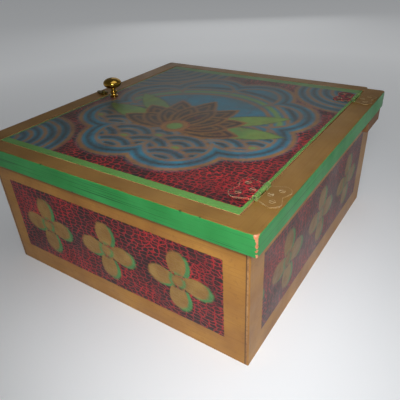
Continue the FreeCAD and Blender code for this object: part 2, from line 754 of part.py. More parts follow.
def figure():
    """Collar, head, nose, hat and pompom on a dowel above the neck disc."""
    dowel_z = f"{DISC_TOP} - dowel_seat"
    subpart(rod("0", "0", dowel_z, "dowel_radius", "dowel_length"), "neck_dowel")
    dowel_hole = ("0", "0", dowel_z, "dowel_radius + screw_clearance", "dowel_length + screw_clearance")
    lobes = int(number("collar_lobes"))
    ruff = [rod("0", "0", DISC_TOP, "collar_ring", "collar_thick")]
    for index in range(lobes):
        angle = 2 * math.pi * index / lobes
        ruff.append(rod(f"collar_ring * {math.cos(angle):.9f}", f"collar_ring * {math.sin(angle):.9f}",
                        DISC_TOP, "collar_lobe", "collar_thick"))
    subpart(cut(fuse(*ruff), rod(*dowel_hole)), "jack_collar")
    below_collar_top = block("-head_radius", "-head_radius", f"{HEAD_Z} - head_radius",
                             "2 * head_radius", "2 * head_radius", "head_flat")
    head = cut(ball("0", "0", HEAD_Z, "head_radius"), below_collar_top, rod(*dowel_hole))
    subpart(head, "jack_head")
    nose = ball("0", "-(head_radius + nose_out)", HEAD_Z, "nose_radius")
    subpart(cut(nose, ball("0", "0", HEAD_Z, "head_radius")), "jack_nose")
    roll_top = "(hat_brim_rise + 2 * hat_roll)"
    brim_fit = "sqrt((head_radius + hat_clearance) ^ 2 - hat_brim_rise ^ 2)"
    foot_fit = f"sqrt((head_radius + hat_clearance) ^ 2 - {roll_top} ^ 2)"
    roll_x = f"({brim_fit} + hat_brim_width - hat_roll)"
    hat = turned([
        ("0", "hat_brim_rise"),
        (roll_x, "hat_brim_rise", roll_x, "hat_brim_rise + hat_roll", 1),
        (roll_x, roll_top),
        (f"{foot_fit} + hat_felt", roll_top),
        ("hat_tip", PEAK_RISE),
        ("0", PEAK_RISE),
    ])
    move(hat, "0", "0", HEAD_Z)
    subpart(cut(hat, ball("0", "0", HEAD_Z, "head_radius + hat_clearance")), "jack_hat")
    tip_z = f"({HEAD_Z} + {PEAK_RISE})"
    pompom = ball("0", "0", f"{tip_z} + {POMPOM_RISE}", "pompom_radius")
    below_tip = block("-pompom_radius", "-pompom_radius", f"{tip_z} - pompom_radius",
                      "2 * pompom_radius", "2 * pompom_radius", "pompom_radius")
    subpart(cut(pompom, below_tip), "hat_pompom")


walls_and_floor()
rails_and_lid()
hinges()
knob()
catch()
spring_seats()
spring()
sleeve()
figure()
doc.recompute()

for item in doc.Objects:
    if "Invalid" in item.State or "Error" in item.State:
        raise RuntimeError(f"{item.Label} failed: {item.State}")
for item in subparts:
    if item.Shape.isNull() or not item.Shape.isValid():
        raise RuntimeError(f"{item.Label} has no valid shape")
    if not item.Shape.Solids:
        raise RuntimeError(f"{item.Label} holds no solid")

os.makedirs("parts", exist_ok=True)
for item in subparts:
    item.Shape.exportStep(f"parts/{item.Label}.step")
    print(f"{item.Label}: {len(item.Shape.Solids)} solids, {item.Shape.Volume:.1f} mm3")
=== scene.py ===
import json
import math

import bpy
import numpy as np
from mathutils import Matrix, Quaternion, Vector


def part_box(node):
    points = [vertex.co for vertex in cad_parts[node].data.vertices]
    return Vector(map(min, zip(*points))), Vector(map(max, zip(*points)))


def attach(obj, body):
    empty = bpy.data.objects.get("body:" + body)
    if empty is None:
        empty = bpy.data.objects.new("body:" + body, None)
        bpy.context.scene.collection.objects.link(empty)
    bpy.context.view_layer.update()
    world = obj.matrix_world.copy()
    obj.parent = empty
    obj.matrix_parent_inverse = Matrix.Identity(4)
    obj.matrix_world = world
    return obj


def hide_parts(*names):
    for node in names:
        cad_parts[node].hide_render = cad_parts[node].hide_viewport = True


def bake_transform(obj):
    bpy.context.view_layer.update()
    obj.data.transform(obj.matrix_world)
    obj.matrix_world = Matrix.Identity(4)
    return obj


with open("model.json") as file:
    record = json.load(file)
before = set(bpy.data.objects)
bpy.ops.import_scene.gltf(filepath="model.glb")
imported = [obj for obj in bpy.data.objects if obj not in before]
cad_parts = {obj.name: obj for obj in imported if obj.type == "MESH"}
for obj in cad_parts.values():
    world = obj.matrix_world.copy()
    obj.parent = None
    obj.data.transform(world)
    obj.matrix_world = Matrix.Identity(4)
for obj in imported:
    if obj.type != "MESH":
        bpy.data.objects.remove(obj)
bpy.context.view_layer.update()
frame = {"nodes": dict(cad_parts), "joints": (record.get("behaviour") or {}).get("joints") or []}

# Sizes are in millimetres, and a mesh is made in metres.
MM = 0.001
nodes = frame["nodes"]


def box_mm(node):
    """Lowest and highest corner of a node in millimetres."""
    low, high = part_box(node)
    return np.array(low) / MM, np.array(high) / MM


LEFT_RAIL = box_mm("left_rail")
HINGE_RAIL = box_mm("hinge_rail")
FRONT_RAIL = box_mm("front_rail")
BACK_RAIL = box_mm("back_rail")
LID = box_mm("lid_panel")
FRONT_WALL = box_mm("front_wall")
LEFT_WALL = box_mm("left_wall")
RIGHT_WALL = box_mm("right_wall")
HEAD = box_mm("jack_head")
HAT = box_mm("jack_hat")
COLLAR = box_mm("jack_collar")
SLEEVE = box_mm("jack_sleeve")
NECK_DISC = box_mm("neck_disc")
SPRING_BASE = box_mm("spring_base")
SPRING = box_mm("jack_spring")
POMPOM = box_mm("hat_pompom")
TOP = LID[1][2]
HINGE_X = sum(box_mm("hinge_pins"))[0] / 2
RISE = next(joint for joint in frame["joints"] if joint["name"] == "jack_rise")["range_m"][1] / MM


# Colours and nodes

def colour(hex_text):
    """Linear colour from an sRGB hex value."""
    shares = [int(hex_text[start:start + 2], 16) / 255 for start in (1, 3, 5)]
    linear = [c / 12.92 if c <= 0.04045 else ((c + 0.055) / 1.055) ** 2.4 for c in shares]
    return (*linear, 1.0)


# The kinds of node that are used most. RANGE takes a value, the span that it follows and the span it gives.
MATH = "ShaderNodeMath"
VECTOR = "ShaderNodeVectorMath"
NOISE = "ShaderNodeTexNoise"
RANGE = "ShaderNodeMapRange"


def add(tree, kind, inputs=(), out=0, **settings):
    """Add a node with its settings, feed its inputs with values, hex colours or links, give an output."""
    made = tree.nodes.new(kind)
    for name, value in settings.items():
        setattr(made, name, value)
    for key, value in dict(inputs).items():
        if isinstance(value, bpy.types.NodeSocket):
            tree.links.new(value, made.inputs[key])
        else:
            made.inputs[key].default_value = colour(value) if isinstance(value, str) else value
    return made if out is None else made.outputs[out]


def new_material(name):
    made = bpy.data.materials.new(name)
    made.use_nodes = True
    made.node_tree.nodes.clear()
    return made, made.node_tree


def shade(tree, inputs):
    """The surface shader with its inputs, and the material's output."""
    shader = add(tree, "ShaderNodeBsdfPrincipled", inputs)
    add(tree, "ShaderNodeOutputMaterial", {"Surface": shader}, out=None)


def place_in_mm(tree):
    """The surface's place in millimetres."""
    place = add(tree, "ShaderNodeTexCoord", out="Object")
    return add(tree, VECTOR, {0: place, "Scale": 1 / MM}, operation="SCALE")


def wander(tree, place, size, span=(0.3, 0.7), values=(0.0, 1.0), detail=3.0):
    """A value that wanders between two over patches of a size in millimetres, as noise crosses a span."""
    noise = add(tree, NOISE, {"Vector": place, "Scale": 1 / size, "Detail": detail})
    return add(tree, RANGE, {0: noise, 1: span[0], 2: span[1], 3: values[0], 4: values[1]})


def cloudy(tree, place, size, first, second):
    """A colour that wanders between two, over patches of a size in millimetres."""
    share = wander(tree, place, size)
    return add(tree, "ShaderNodeMix", {0: share, 6: first, 7: second}, out=2, data_type="RGBA")


def apart(tree, value, place):
    """How far a value lies from a place, to either side."""
    offset = add(tree, MATH, {0: value, 1: place}, operation="SUBTRACT")
    return add(tree, MATH, {0: offset}, operation="ABSOLUTE")


def layered(tree, tone, *layers):
    """A colour with paints laid over it in turn, each a mask and a colour."""
    for mask, paint in layers:
        tone = add(tree, "ShaderNodeMix", {0: mask, 6: tone, 7: paint}, out=2, data_type="RGBA")
    return tone


def inked(tree, distance, soft, place, ragged, grain=3.0):
    """Mask of a painted shape from the distance to its edge, soft and ragged over some millimetres."""
    noise = add(tree, NOISE, {"Vector": place, "Scale": 1 / grain, "Detail": 3.0})
    shift = add(tree, MATH, {0: noise, 1: -0.5}, operation="ADD")
    distance = add(tree, MATH, {0: shift, 1: 2 * ragged, 2: distance}, operation="MULTIPLY_ADD")
    return add(tree, RANGE, {0: distance, 1: soft, 2: -soft}, interpolation_type="SMOOTHSTEP")


def streaks(tree, place, along, length, width):
    """Noise drawn out along one axis, as brush marks and grain are."""
    stretch = [1 / width] * 3
    stretch["xyz".index(along)] = 1 / length
    drawn = add(tree, VECTOR, {0: place, 1: stretch}, operation="MULTIPLY")
    return add(tree, NOISE, {"Vector": drawn, "Scale": 1.0, "Detail": 4.0})


def relief(tree, *layers):
    """A surface's normal from layers of relief, each a height from 0 to 1 and its step in millimetres."""
    normal = {}
    for height, step in layers:
        inputs = {"Height": height, "Distance": step * MM, **normal}
        normal = {"Normal": add(tree, "ShaderNodeBump", inputs)}
    return normal["Normal"]


# Paints, each giving a colour and a height for its relief

def gold_paint(tree, place, along, first="#906026", second="#AB7A33"):
    """Brown-gold enamel, brushed out: cloudy, with the board's grain showing faintly through it."""
    tone = cloudy(tree, place, 38, first, second)
    marks = streaks(tree, place, along, 70, 1.6)
    dark = add(tree, RANGE, {0: marks, 1: 0.52, 2: 0.75, 4: 0.35})
    freckle = wander(tree, place, 3.5, (0.58, 0.72), (0.0, 0.4), detail=4.0)
    return layered(tree, tone, (dark, "#6E4520"), (freckle, "#7A5122")), marks


def green_paint(tree, place, x, y, z):
    """Green gloss enamel, with the ply's lines drawn along the edge and on past the joints of the rails."""
    tone = cloudy(tree, place, 30, "#257E3A", "#34924A")
    around = add(tree, MATH, {0: x, 1: y}, operation="ADD")
    level = add(tree, MATH, {0: x, 1: y}, operation="SUBTRACT")
    level = add(tree, MATH, {0: level, 1: 0.004, 2: z}, operation="MULTIPLY_ADD")
    edge = add(tree, "ShaderNodeCombineXYZ", {0: around, 1: level})
    marks = streaks(tree, edge, "x", 110, 1.0)
    dark = add(tree, RANGE, {0: marks, 1: 0.57, 2: 0.66, 4: 0.75})
    return layered(tree, tone, (dark, "#123F20")), marks


# The crackle's bricks, coarse and fine: length, height and the share of them that is crack
BRICKS = ((7.0, 3.8, 0.2), (3.7, 2.5, 0.22))
# How far their edges bend, and over what length
BRICK_BEND, BEND_LENGTH = 1.8, 6.0


def crackled_paint(tree, plane):
    """Black paint that shrank into small bricks and shows its red ground between them."""
    bend = add(tree, NOISE, {"Vector": plane, "Scale": 1 / BEND_LENGTH, "Detail": 2.0}, out="Color")
    bend = {0: bend, 1: (BRICK_BEND, BRICK_BEND, 0), 2: plane}
    bend = add(tree, VECTOR, bend, operation="MULTIPLY_ADD")
    masks = []
    for long, high, crack in BRICKS:
        brick = add(tree, VECTOR, {0: bend, 1: (1 / long, 1 / high, 1)}, operation="MULTIPLY")
        cells = {"Vector": brick, "Scale": 1.0, "Randomness": 0.85}
        reaches = [add(tree, "ShaderNodeTexVoronoi", cells, out="Distance", voronoi_dimensions="2D",
                       feature=nearest, distance="CHEBYCHEV") for nearest in ("F1", "F2")]
        gap = add(tree, MATH, {0: reaches[1], 1: reaches[0]}, operation="SUBTRACT")
        masks.append(add(tree, RANGE, {0: gap, 1: 0.4 * crack, 2: crack, 3: 1.0, 4: 0.0}))
    fine = wander(tree, plane, 45, (0.4, 0.62), (0.0, 0.7), detail=2.0)
    fine = add(tree, MATH, {0: masks[1], 1: fine}, operation="MULTIPLY")
    red = add(tree, MATH, {0: masks[0], 1: fine}, operation="MAXIMUM")
    ground = cloudy(tree, plane, 40, "#641A22", "#C62629")
    black = cloudy(tree, plane, 30, "#120F10", "#2C1719")
    height = add(tree, MATH, {0: 1.0, 1: red}, operation="SUBTRACT")
    return layered(tree, black, (red, ground)), height


def bare_wood(tree, place, along, pale="#B98E5E", dark="#8D6238"):
    """Planed softwood gone yellow-brown with age: long grain lines over a soft cloud of tone."""
    tone = cloudy(tree, place, 60, pale, dark)
    grain = streaks(tree, place, along, 160, 2.6)
    lines = add(tree, RANGE, {0: grain, 1: 0.48, 2: 0.66, 4: 0.7})
    pores = streaks(tree, place, along, 14, 0.35)
    pores = add(tree, RANGE, {0: pores, 1: 0.6, 2: 0.75, 4: 0.5})
    return layered(tree, tone, (lines, "#75492A"), (pores, "#5C3A20")), grain


VARNISH = {"Coat Weight": 0.12, "Coat Roughness": 0.3, "Specular IOR Level": 0.28}


def varnished(tree, place, tone, *layers):
    """Paint under old varnish: a soft sheen, uneven where it has been rubbed, over the paint's relief."""
    roughness = wander(tree, place, 26, values=(0.36, 0.52), detail=4.0)
    shade(tree, {"Base Color": tone, "Roughness": roughness, "Normal": relief(tree, *layers), **VARNISH})


# Walls

# A wall's panel: its lower and upper edge, and its margins from the wall's low and high end
PANEL_LOW, PANEL_HIGH = 21.5, 101.0
PANEL_MARGIN = {"x": (18.5, 22.0), "y": (22.0, 26.0)}
ROSETTE_STEP = 78.0
ROSETTE_PETAL = 30.0
ROSETTE_HEART = 5.5
ROSETTE_GAP = 8.5
SHADOW_ASIDE, SHADOW_DROP = 4.0, 1.2
# Where bare wood starts under a wall's outside, painted shade under the rails and soiling by a joint, from
# none to full
BARE_DEPTH = (0.9, 1.3)
RAIL_SHADE = (10.0, 6.5)
JOINT_DIRT = (1.3, 0.4)


def rosette(tree, across, up):
    """Distance in millimetres to the edge of a four-petal flower about the origin."""
    spread = add(tree, "ShaderNodeCombineXYZ", {0: across, 1: up})
    radius = add(tree, VECTOR, {0: spread}, out="Value", operation="LENGTH")
    angle = add(tree, MATH, {0: up, 1: across}, operation="ARCTAN2")
    double = add(tree, MATH, {0: angle, 1: 2.0}, operation="MULTIPLY")
    wave = add(tree, MATH, {0: double}, operation="COSINE")
    wave = add(tree, MATH, {0: wave}, operation="ABSOLUTE")
    wave = add(tree, MATH, {0: wave, 1: 0.7}, operation="POWER")
    reach = add(tree, MATH, {0: wave, 1: ROSETTE_PETAL}, operation="MULTIPLY")
    petals = add(tree, MATH, {0: radius, 1: reach}, operation="SUBTRACT")
    gap = add(tree, MATH, {0: ROSETTE_GAP, 1: radius}, operation="SUBTRACT")
    petals = add(tree, MATH, {0: petals, 1: gap}, operation="MAXIMUM")
    heart = add(tree, MATH, {0: radius, 1: ROSETTE_HEART}, operation="SUBTRACT")
    return add(tree, MATH, {0: petals, 1: heart}, operation="MINIMUM")


def stencilled_panel(tree, place, plane, offset, clouding_and_side_shade):
    """Crackled paint with a row of gold rosettes, each with a green shadow, and the height of its cracks.

    Sprayed stencils have soft edges. A grey wash dulls them all, for cloudy varnish and painted shade.
    """
    field, cracks = crackled_paint(tree, plane)
    spot = add(tree, "ShaderNodeSeparateXYZ", {0: offset}, out=None).outputs
    ends = {1: ROSETTE_STEP / 2, 2: -ROSETTE_STEP / 2}
    across = add(tree, MATH, {0: spot[0], **ends}, operation="WRAP")
    aside = add(tree, MATH, {0: across, 1: -SHADOW_ASIDE}, operation="ADD")
    raised = add(tree, MATH, {0: spot[1], 1: SHADOW_DROP}, operation="ADD")
    shadow = inked(tree, rosette(tree, aside, raised), 2.0, place, ragged=1.6)
    flower = inked(tree, rosette(tree, across, spot[1]), 2.2, place, ragged=1.6)
    green = cloudy(tree, place, 9, "#3C7440", "#4E8F4E")
    gold = cloudy(tree, place, 12, "#86602C", "#9C7A3C")
    # The last layer, a grey wash, is cloudy varnish together with painted shade
    return layered(tree, field, (shadow, green), (flower, gold), (clouding_and_side_shade, "#4A3E37")), cracks


def wall_paint(name, along, ends, outside_axis, outside, clouding_and_side_shade):
    """A wall's outside: gold border round a crackled panel with stencilled rosettes, under varnish.

    The inside of the board is bare. Varnish gives a soft sheen that turns hazy at a low angle. Shade under
    the rails is painted in as a darker band, and soil has gathered in the front's joints.
    """
    made, tree = new_material(name)
    place = place_in_mm(tree)
    x, y, z = add(tree, "ShaderNodeSeparateXYZ", {0: place}, out=None).outputs
    axes = {"x": x, "y": y}
    plane = add(tree, "ShaderNodeCombineXYZ", {0: axes[along], 1: z})
    left, right = ends[0] + PANEL_MARGIN[along][0], ends[1] - PANEL_MARGIN[along][1]
    middle = ((left + right) / 2, (PANEL_LOW + PANEL_HIGH) / 2, 0)
    half = ((right - left) / 2, (PANEL_HIGH - PANEL_LOW) / 2, 0)
    offset = add(tree, VECTOR, {0: plane, 1: middle}, operation="SUBTRACT")
    beyond = add(tree, VECTOR, {0: offset}, operation="ABSOLUTE")
    beyond = add(tree, VECTOR, {0: beyond, 1: half}, operation="SUBTRACT")
    beyond = add(tree, "ShaderNodeSeparateXYZ", {0: beyond}, out=None).outputs
    edge = add(tree, MATH, {0: beyond[0], 1: beyond[1]}, operation="MAXIMUM")
    panel = inked(tree, edge, 0.5, place, ragged=0.7)

    border, grain = gold_paint(tree, place, along)
    field, cracks = stencilled_panel(tree, place, plane, offset, clouding_and_side_shade)
    wood = bare_wood(tree, place, along)[0]
    depth = apart(tree, axes[outside_axis], outside)
    inside = add(tree, RANGE, {0: depth, 1: BARE_DEPTH[0], 2: BARE_DEPTH[1]})
    # Painted shade: each wall darkens towards its top, under the overhang of the rails
    shade_starts, shade_full = [FRONT_WALL[1][2] - under for under in RAIL_SHADE]
    painted_shade_under_rails = add(tree, RANGE, {0: z, 1: shade_starts, 2: shade_full, 4: 0.85})
    low, high = FRONT_WALL[0][0], FRONT_WALL[1][0]
    joint = apart(tree, apart(tree, x, (low + high) / 2), (high - low) / 2)
    joint = add(tree, RANGE, {0: joint, 1: JOINT_DIRT[0], 2: JOINT_DIRT[1], 4: 0.85})
    # One dark brown paints both the shade under the rails and the soil in the joints
    dirt_and_shade = "#2B1A10"
    tone = layered(tree, border, (panel, field), (painted_shade_under_rails, dirt_and_shade), (joint, dirt_and_shade), (inside, wood))
    cracks = add(tree, MATH, {0: cracks, 1: panel}, operation="MULTIPLY")
    varnished(tree, place, tone, (grain, 0.12), (cracks, 0.12))
    return made


# Boards that are modelled with worn edges

# How deep under a board's faces its core lies, which wear goes towards
BOARD_CORE = 9.0


def board_lines(low, high, step, low_round, high_round):
    """Places of a board's mesh lines along one axis: close together over its rounded edges."""
    shares = (0.0, 1 - math.tan(math.pi / 8))
    first = [low + low_round * share for share in shares] if low_round else []
    last = [high - high_round * share for share in reversed(shares)] if high_round else []
    inner_low, inner_high = low + low_round, high - high_round
    count = max(1, round((inner_high - inner_low) / step))
    return np.array(first + list(np.linspace(inner_low, inner_high, count + 1)) + last)


def board(name, box, step, radius, eased, materials):
    """A board with some sides rounded over to each other, in a grid of quads.

    eased names the sides, as in "-x", whose shared edges are rounded. materials gives a material for each
    side, with "" for the rest.
    """
    low, high = box
    rounds = np.array([[radius if sign + axis in eased else 0.0 for axis in "xyz"] for sign in "-+"])
    lines = [board_lines(low[i], high[i], step, rounds[0][i], rounds[1][i]) for i in range(3)]
    numbers = {}
    places = []
    faces = []
    slots = []
    looks = list(dict.fromkeys(materials.values()))

    def corner(index):
        if index not in numbers:
            numbers[index] = len(places)
            places.append([lines[axis][index[axis]] for axis in range(3)])
        return numbers[index]

    for axis in range(3):
        second, third = (axis + 1) % 3, (axis + 2) % 3
        for sign, end in (("-", 0), ("+", len(lines[axis]) - 1)):
            look = looks.index(materials.get(sign + "xyz"[axis], materials[""]))
            for i in range(len(lines[second]) - 1):
                for j in range(len(lines[third]) - 1):
                    quad = []
                    for di, dj in ((0, 0), (1, 0), (1, 1), (0, 1)):
                        index = [0, 0, 0]
                        index[axis], index[second], index[third] = end, i + di, j + dj
                        quad.append(corner(tuple(index)))
                    faces.append(quad if sign == "+" else quad[::-1])
                    slots.append(look)
    places = np.array(places)
    inner = np.clip(places, low + rounds[0], high - rounds[1])
    out = places - inner
    length = np.linalg.norm(out, axis=1, keepdims=True)
    reach = np.abs(out).max(axis=1, keepdims=True)
    places = np.where(length > 0, inner + out * reach / np.maximum(length, 1e-9), places)
    made = mesh_object(name, places, faces)
    made.data.set_sharp_from_angle(angle=math.radians(40))
    for look in looks:
        made.data.materials.append(look)
    made.data.polygons.foreach_set("material_index", slots)
    return made, places


def new_object(name, data):
    """An object in the scene, at the origin."""
    made = bpy.data.objects.new(name, data)
    bpy.context.scene.collection.objects.link(made)
    return made


def mesh_object(name, places, faces):
    """A smooth mesh object from places in millimetres."""
    mesh = bpy.data.meshes.new(name)
    mesh.from_pydata((np.array(places) * MM).tolist(), [], faces)
    mesh.polygons.foreach_set("use_smooth", [True] * len(mesh.polygons))
    mesh.update()
    return new_object(name, mesh)


def mark(made, name, values):
    """Keep one number for each vertex under a name that materials can read."""
    made.data.attributes.new(name, "FLOAT", "POINT").data.foreach_set("value", np.array(values, np.float32))


def move_vertices(made, places):
    made.data.vertices.foreach_set("co", (places * MM).astype(np.float32).ravel())
    made.data.update()


def wear_down(made, places, box, wear):
    """Wear a board at spots of (place, reach, depth), and mark each kind of wear on it, from 0 to 1."""
    low, high = box
    worn = places.copy()
    for kind, spots in wear.items():
        share = np.zeros(len(places))
        for spot, reach, depth in spots:
            spot = np.array(spot)
            if np.any(spot < low - 0.01) or np.any(spot > high + 0.01):
                continue
            inward = np.clip(spot, low + BOARD_CORE, high - BOARD_CORE) - spot
            inward = inward / np.linalg.norm(inward)
            near = np.clip(1 - np.linalg.norm(places - spot, axis=1) / reach, 0, 1)
            worn += np.outer(depth * near ** 1.5, inward)
            share = np.maximum(share, near)
        mark(made, kind, share)
    move_vertices(made, worn)


# Rails

RAIL_GOLD = ("#705124", "#85632F")


def rail_paint(along):
    """A rail: gold top and green edges, chipped to raw wood on its corners, under varnish.

    Enamel over planed wood has a brushed sheen, and the raw wood in the chips is dull and pinkish.
    """
    made, tree = new_material(f"brushed enamel on rail along {along}")
    place = place_in_mm(tree)
    x, y, z = add(tree, "ShaderNodeSeparateXYZ", {0: place}, out=None).outputs
    gold, gold_marks = gold_paint(tree, place, along, *RAIL_GOLD)
    green, green_marks = green_paint(tree, place, x, y, z)
    depth = add(tree, MATH, {0: TOP - 0.35, 1: z}, operation="SUBTRACT")
    top = inked(tree, depth, 0.15, place, ragged=0.35, grain=6.0)
    bare = add(tree, "ShaderNodeAttribute", attribute_name="bare", out="Fac")
    noise = add(tree, NOISE, {"Vector": place, "Scale": 1 / 1.6, "Detail": 5.0})
    chip = add(tree, MATH, {0: bare, 1: noise}, operation="ADD")
    chipped = add(tree, RANGE, {0: chip, 1: 0.86, 2: 0.93})
    raw = cloudy(tree, place, 2.2, "#D28D68", "#B56A47")
    dent = add(tree, "ShaderNodeAttribute", attribute_name="dent", out="Fac")
    dent = add(tree, RANGE, {0: dent, 1: 0.15, 2: 0.5, 4: 0.85})
    tone = layered(tree, green, (top, gold), (dent, "#16301A"), (chipped, raw))
    marks = layered(tree, green_marks, (top, gold_marks))
    sunk = add(tree, MATH, {0: 1.0, 1: chipped}, operation="SUBTRACT")
    varnished(tree, place, tone, (marks, 0.14), (sunk, 0.2))
    return made


def wood_finish(name, along, **tones):
    """Bare planed wood: dull, with its grain standing a little proud."""
    made, tree = new_material(name)
    place = place_in_mm(tree)
    tone, grain = bare_wood(tree, place, along, **tones)
    shade(tree, {"Base Color": tone, "Roughness": 0.62, "Normal": relief(tree, (grain, 0.15))})
    return made


RAIL_STEP = 1.6
EDGE_ROUND = 0.8
# Chips down the rails' outer corners: how far under the top, reach and depth
CHIPS = {
    (HINGE_RAIL[1][0], HINGE_RAIL[0][1]): ((0.4, 4.6, 1.3), (4.8, 2.6, 0.6), (8.5, 3.0, 0.7),
                                           (12.2, 2.2, 0.5), (16.4, 2.8, 0.7)),
    (HINGE_RAIL[1][0], HINGE_RAIL[1][1]): ((0.4, 3.4, 0.9), (11.0, 2.2, 0.5)),
    (BACK_RAIL[1][0], BACK_RAIL[1][1]): ((0.4, 2.8, 0.7),),
    (LEFT_RAIL[0][0], LEFT_RAIL[0][1]): ((0.4, 3.0, 0.8),),
    (LEFT_RAIL[0][0], LEFT_RAIL[1][1]): ((0.4, 3.2, 0.9), (14.0, 2.4, 0.6)),
}
# Dents in the front rail's edges: how far along, how far under the top, reach and depth
DENTS = ((-52.0, 0.0, 1.6, 0.6), (92.0, 0.0, 1.7, 0.6), (108.0, 0.0, 1.4, 0.5), (-18.0, 18.0, 1.8, 0.4))


def build_rails():
    bare = wood_finish("planed softwood of the frame", "y")
    paint = {"x": rail_paint("x"), "y": rail_paint("y")}
    chips = [((x, y, TOP - under), reach, depth)
             for (x, y), spots in CHIPS.items() for under, reach, depth in spots]
    dents = [((along, FRONT_RAIL[0][1], TOP - under), reach, depth) for along, under, reach, depth in DENTS]
    plans = {
        "left_rail": (LEFT_RAIL, "y", ("-x", "-y", "+y", "+z")),
        "hinge_rail": (HINGE_RAIL, "y", ("+x", "-y", "+y", "+z")),
        "front_rail": (FRONT_RAIL, "x", ("-y", "+z")),
        "back_rail": (BACK_RAIL, "x", ("+y", "+z")),
    }
    for node, (box, along, painted) in plans.items():
        looks = {**{side: paint[along] for side in painted}, "": bare}
        rail, places = board(f"painted_{node}", box, RAIL_STEP, EDGE_ROUND, (*painted, "-z"), looks)
        wear_down(rail, places, box, {"bare": chips, "dent": dents})
        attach(rail, "box")
        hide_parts(node)


# Lid

LID_STEP = 1.7
LID_ROUND = 0.5
# How far the green stripe reaches in from the lid's left, front, right and back edges
STRIPE = {"-x": 2.8, "-y": 7.7, "+x": 2.8, "+y": 11.5}
# A distance at which any paint is off
FAR = 20.0
RIPPLE_STEP = 13.0
MEDALLION_RADIUS = 84.0
LOBES, LOBE_PLACE, LOBE_RADIUS = 8, 76.0, 47.0
SCALLOP = 30.0
LOTUS_FOOT = (0.0, -38.0)


def disc(x, y, centre, radius):
    """Distance to the edge of a disc, less than 0 inside it."""
    return np.hypot(x - centre[0], y - centre[1]) - radius


def bands(distance, step, half_width):
    """Distance to the edges of bands that lie at each step of another distance."""
    return np.abs((distance + step / 2) % step - step / 2) - half_width


def petal(x, y, foot, tip, half_width):
    """Distance to the edge of a leaf shape between two points."""
    foot, tip = np.array(foot, float), np.array(tip, float)
    chord = tip - foot
    length = np.hypot(*chord)
    side = np.array([-chord[1], chord[0]]) / length
    radius = (length ** 2 / 4 + half_width ** 2) / (2 * half_width)
    middle = (foot + tip) / 2
    lens = [disc(x, y, middle + sign * side * (radius - half_width), radius) for sign in (-1, 1)]
    return np.maximum(*lens)


def cover(inks, shape, **new):
    """Lay a shape over the design: inside it, only its own new inks are left."""
    for name in inks:
        given = new.get(name, FAR)
        inks[name] = np.where(shape < 0, given, np.minimum(inks[name], given))


def paint_ripples(inks, x, y, half):
    """Ripples about three corners of the field."""
    for across, up, size in ((-1, 1, 92), (1, 1, 66), (-1, -1, 60)):
        shape = disc(x, y, (across * half[0], up * half[1]), size)
        gold = np.maximum(bands(shape, RIPPLE_STEP, 1.8), shape - 1.8)
        dark = np.maximum(bands(shape + RIPPLE_STEP / 2, RIPPLE_STEP, 1.6), shape)
        cover(inks, shape, blue=shape, gold=gold, dark=dark)


def paint_medallion(inks, x, y):
    """A lobed blue field with gold and dark rims. Gives the distance to the edge of what is inside them."""
    lobes = [disc(x, y, (0, 0), MEDALLION_RADIUS)]
    for lobe in range(LOBES):
        angle = 2 * math.pi * (lobe + 0.5) / LOBES
        lobes.append(disc(x, y, (LOBE_PLACE * math.cos(angle), LOBE_PLACE * math.sin(angle)), LOBE_RADIUS))
    edge = np.min(lobes, axis=0)
    rims = np.minimum(np.abs(edge + 1) - 2.0, np.abs(edge + 17) - 1.5)
    cover(inks, edge, blue=edge, gold=rims, dark=np.abs(edge + 9) - 1.7)
    return edge + 19


def paint_halo(inks, x, y, inside):
    """Rings behind the flower."""
    reach = np.hypot(x, y + 26)
    rings = ((88, "gold", 2.2), (96, "green", 3.0), (104, "gold", 2.0), (112, "dark", 2.2))
    for radius, name, half in rings:
        ring = np.maximum(np.abs(reach - radius) - half, inside)
        inks[name] = np.minimum(inks[name], ring)


def paint_waves(inks, x, y, inside):
    """Rows of wave scallops, each row over the one behind it."""
    waves = {name: np.full(len(x), FAR) for name in inks}
    for row in range(7):
        for column in range(-4, 5):
            centre = ((2 * column + row % 2) * SCALLOP, -34 - row * SCALLOP / 2)
            reach = disc(x, y, centre, 0)
            shape = reach - SCALLOP
            gold = np.min([np.abs(reach - SCALLOP * share) - 1.5 for share in (1.0, 0.6, 0.24)], axis=0)
            dark = np.min([np.abs(reach - SCALLOP * share) - 2.0 for share in (0.81, 0.42)], axis=0)
            new = {"blue": shape, "gold": gold, "dark": dark, "green": reach - SCALLOP * 0.2}
            waves["gold"] = np.minimum(waves["gold"], gold)
            for name in waves:
                waves[name] = np.where(shape < 0, new[name], waves[name])
    drawn = (waves["blue"] < 0) & (inside < 0)
    for name in inks:
        inks[name] = np.where(drawn, waves[name], inks[name])
    inks["gold"] = np.minimum(inks["gold"], np.maximum(waves["gold"], inside))


def paint_leaves(inks, x, y):
    """Two veined leaves on each side of the flower."""
    for side in (-1, 1):
        for foot, tip, half_width in (((14, -34), (104, -14), 13.0), ((14, -24), (92, 30), 12.0)):
            foot, tip = np.array((side * foot[0], foot[1])), np.array((side * tip[0], tip[1]))
            leaf = petal(x, y, foot, tip, half_width)
            along = (tip - foot) / np.hypot(*(tip - foot))
            travel = (x - foot[0]) * along[0] + (y - foot[1]) * along[1]
            aside = np.abs((y - foot[1]) * along[0] - (x - foot[0]) * along[1])
            veins = bands(travel + 0.7 * aside + 5.5, 11.0, 0.9)
            ribs = np.minimum(aside - 0.8, np.maximum(veins, leaf + 1.5))
            cover(inks, leaf, green=leaf, dark=np.minimum(np.maximum(ribs, leaf), np.abs(leaf) - 0.9))


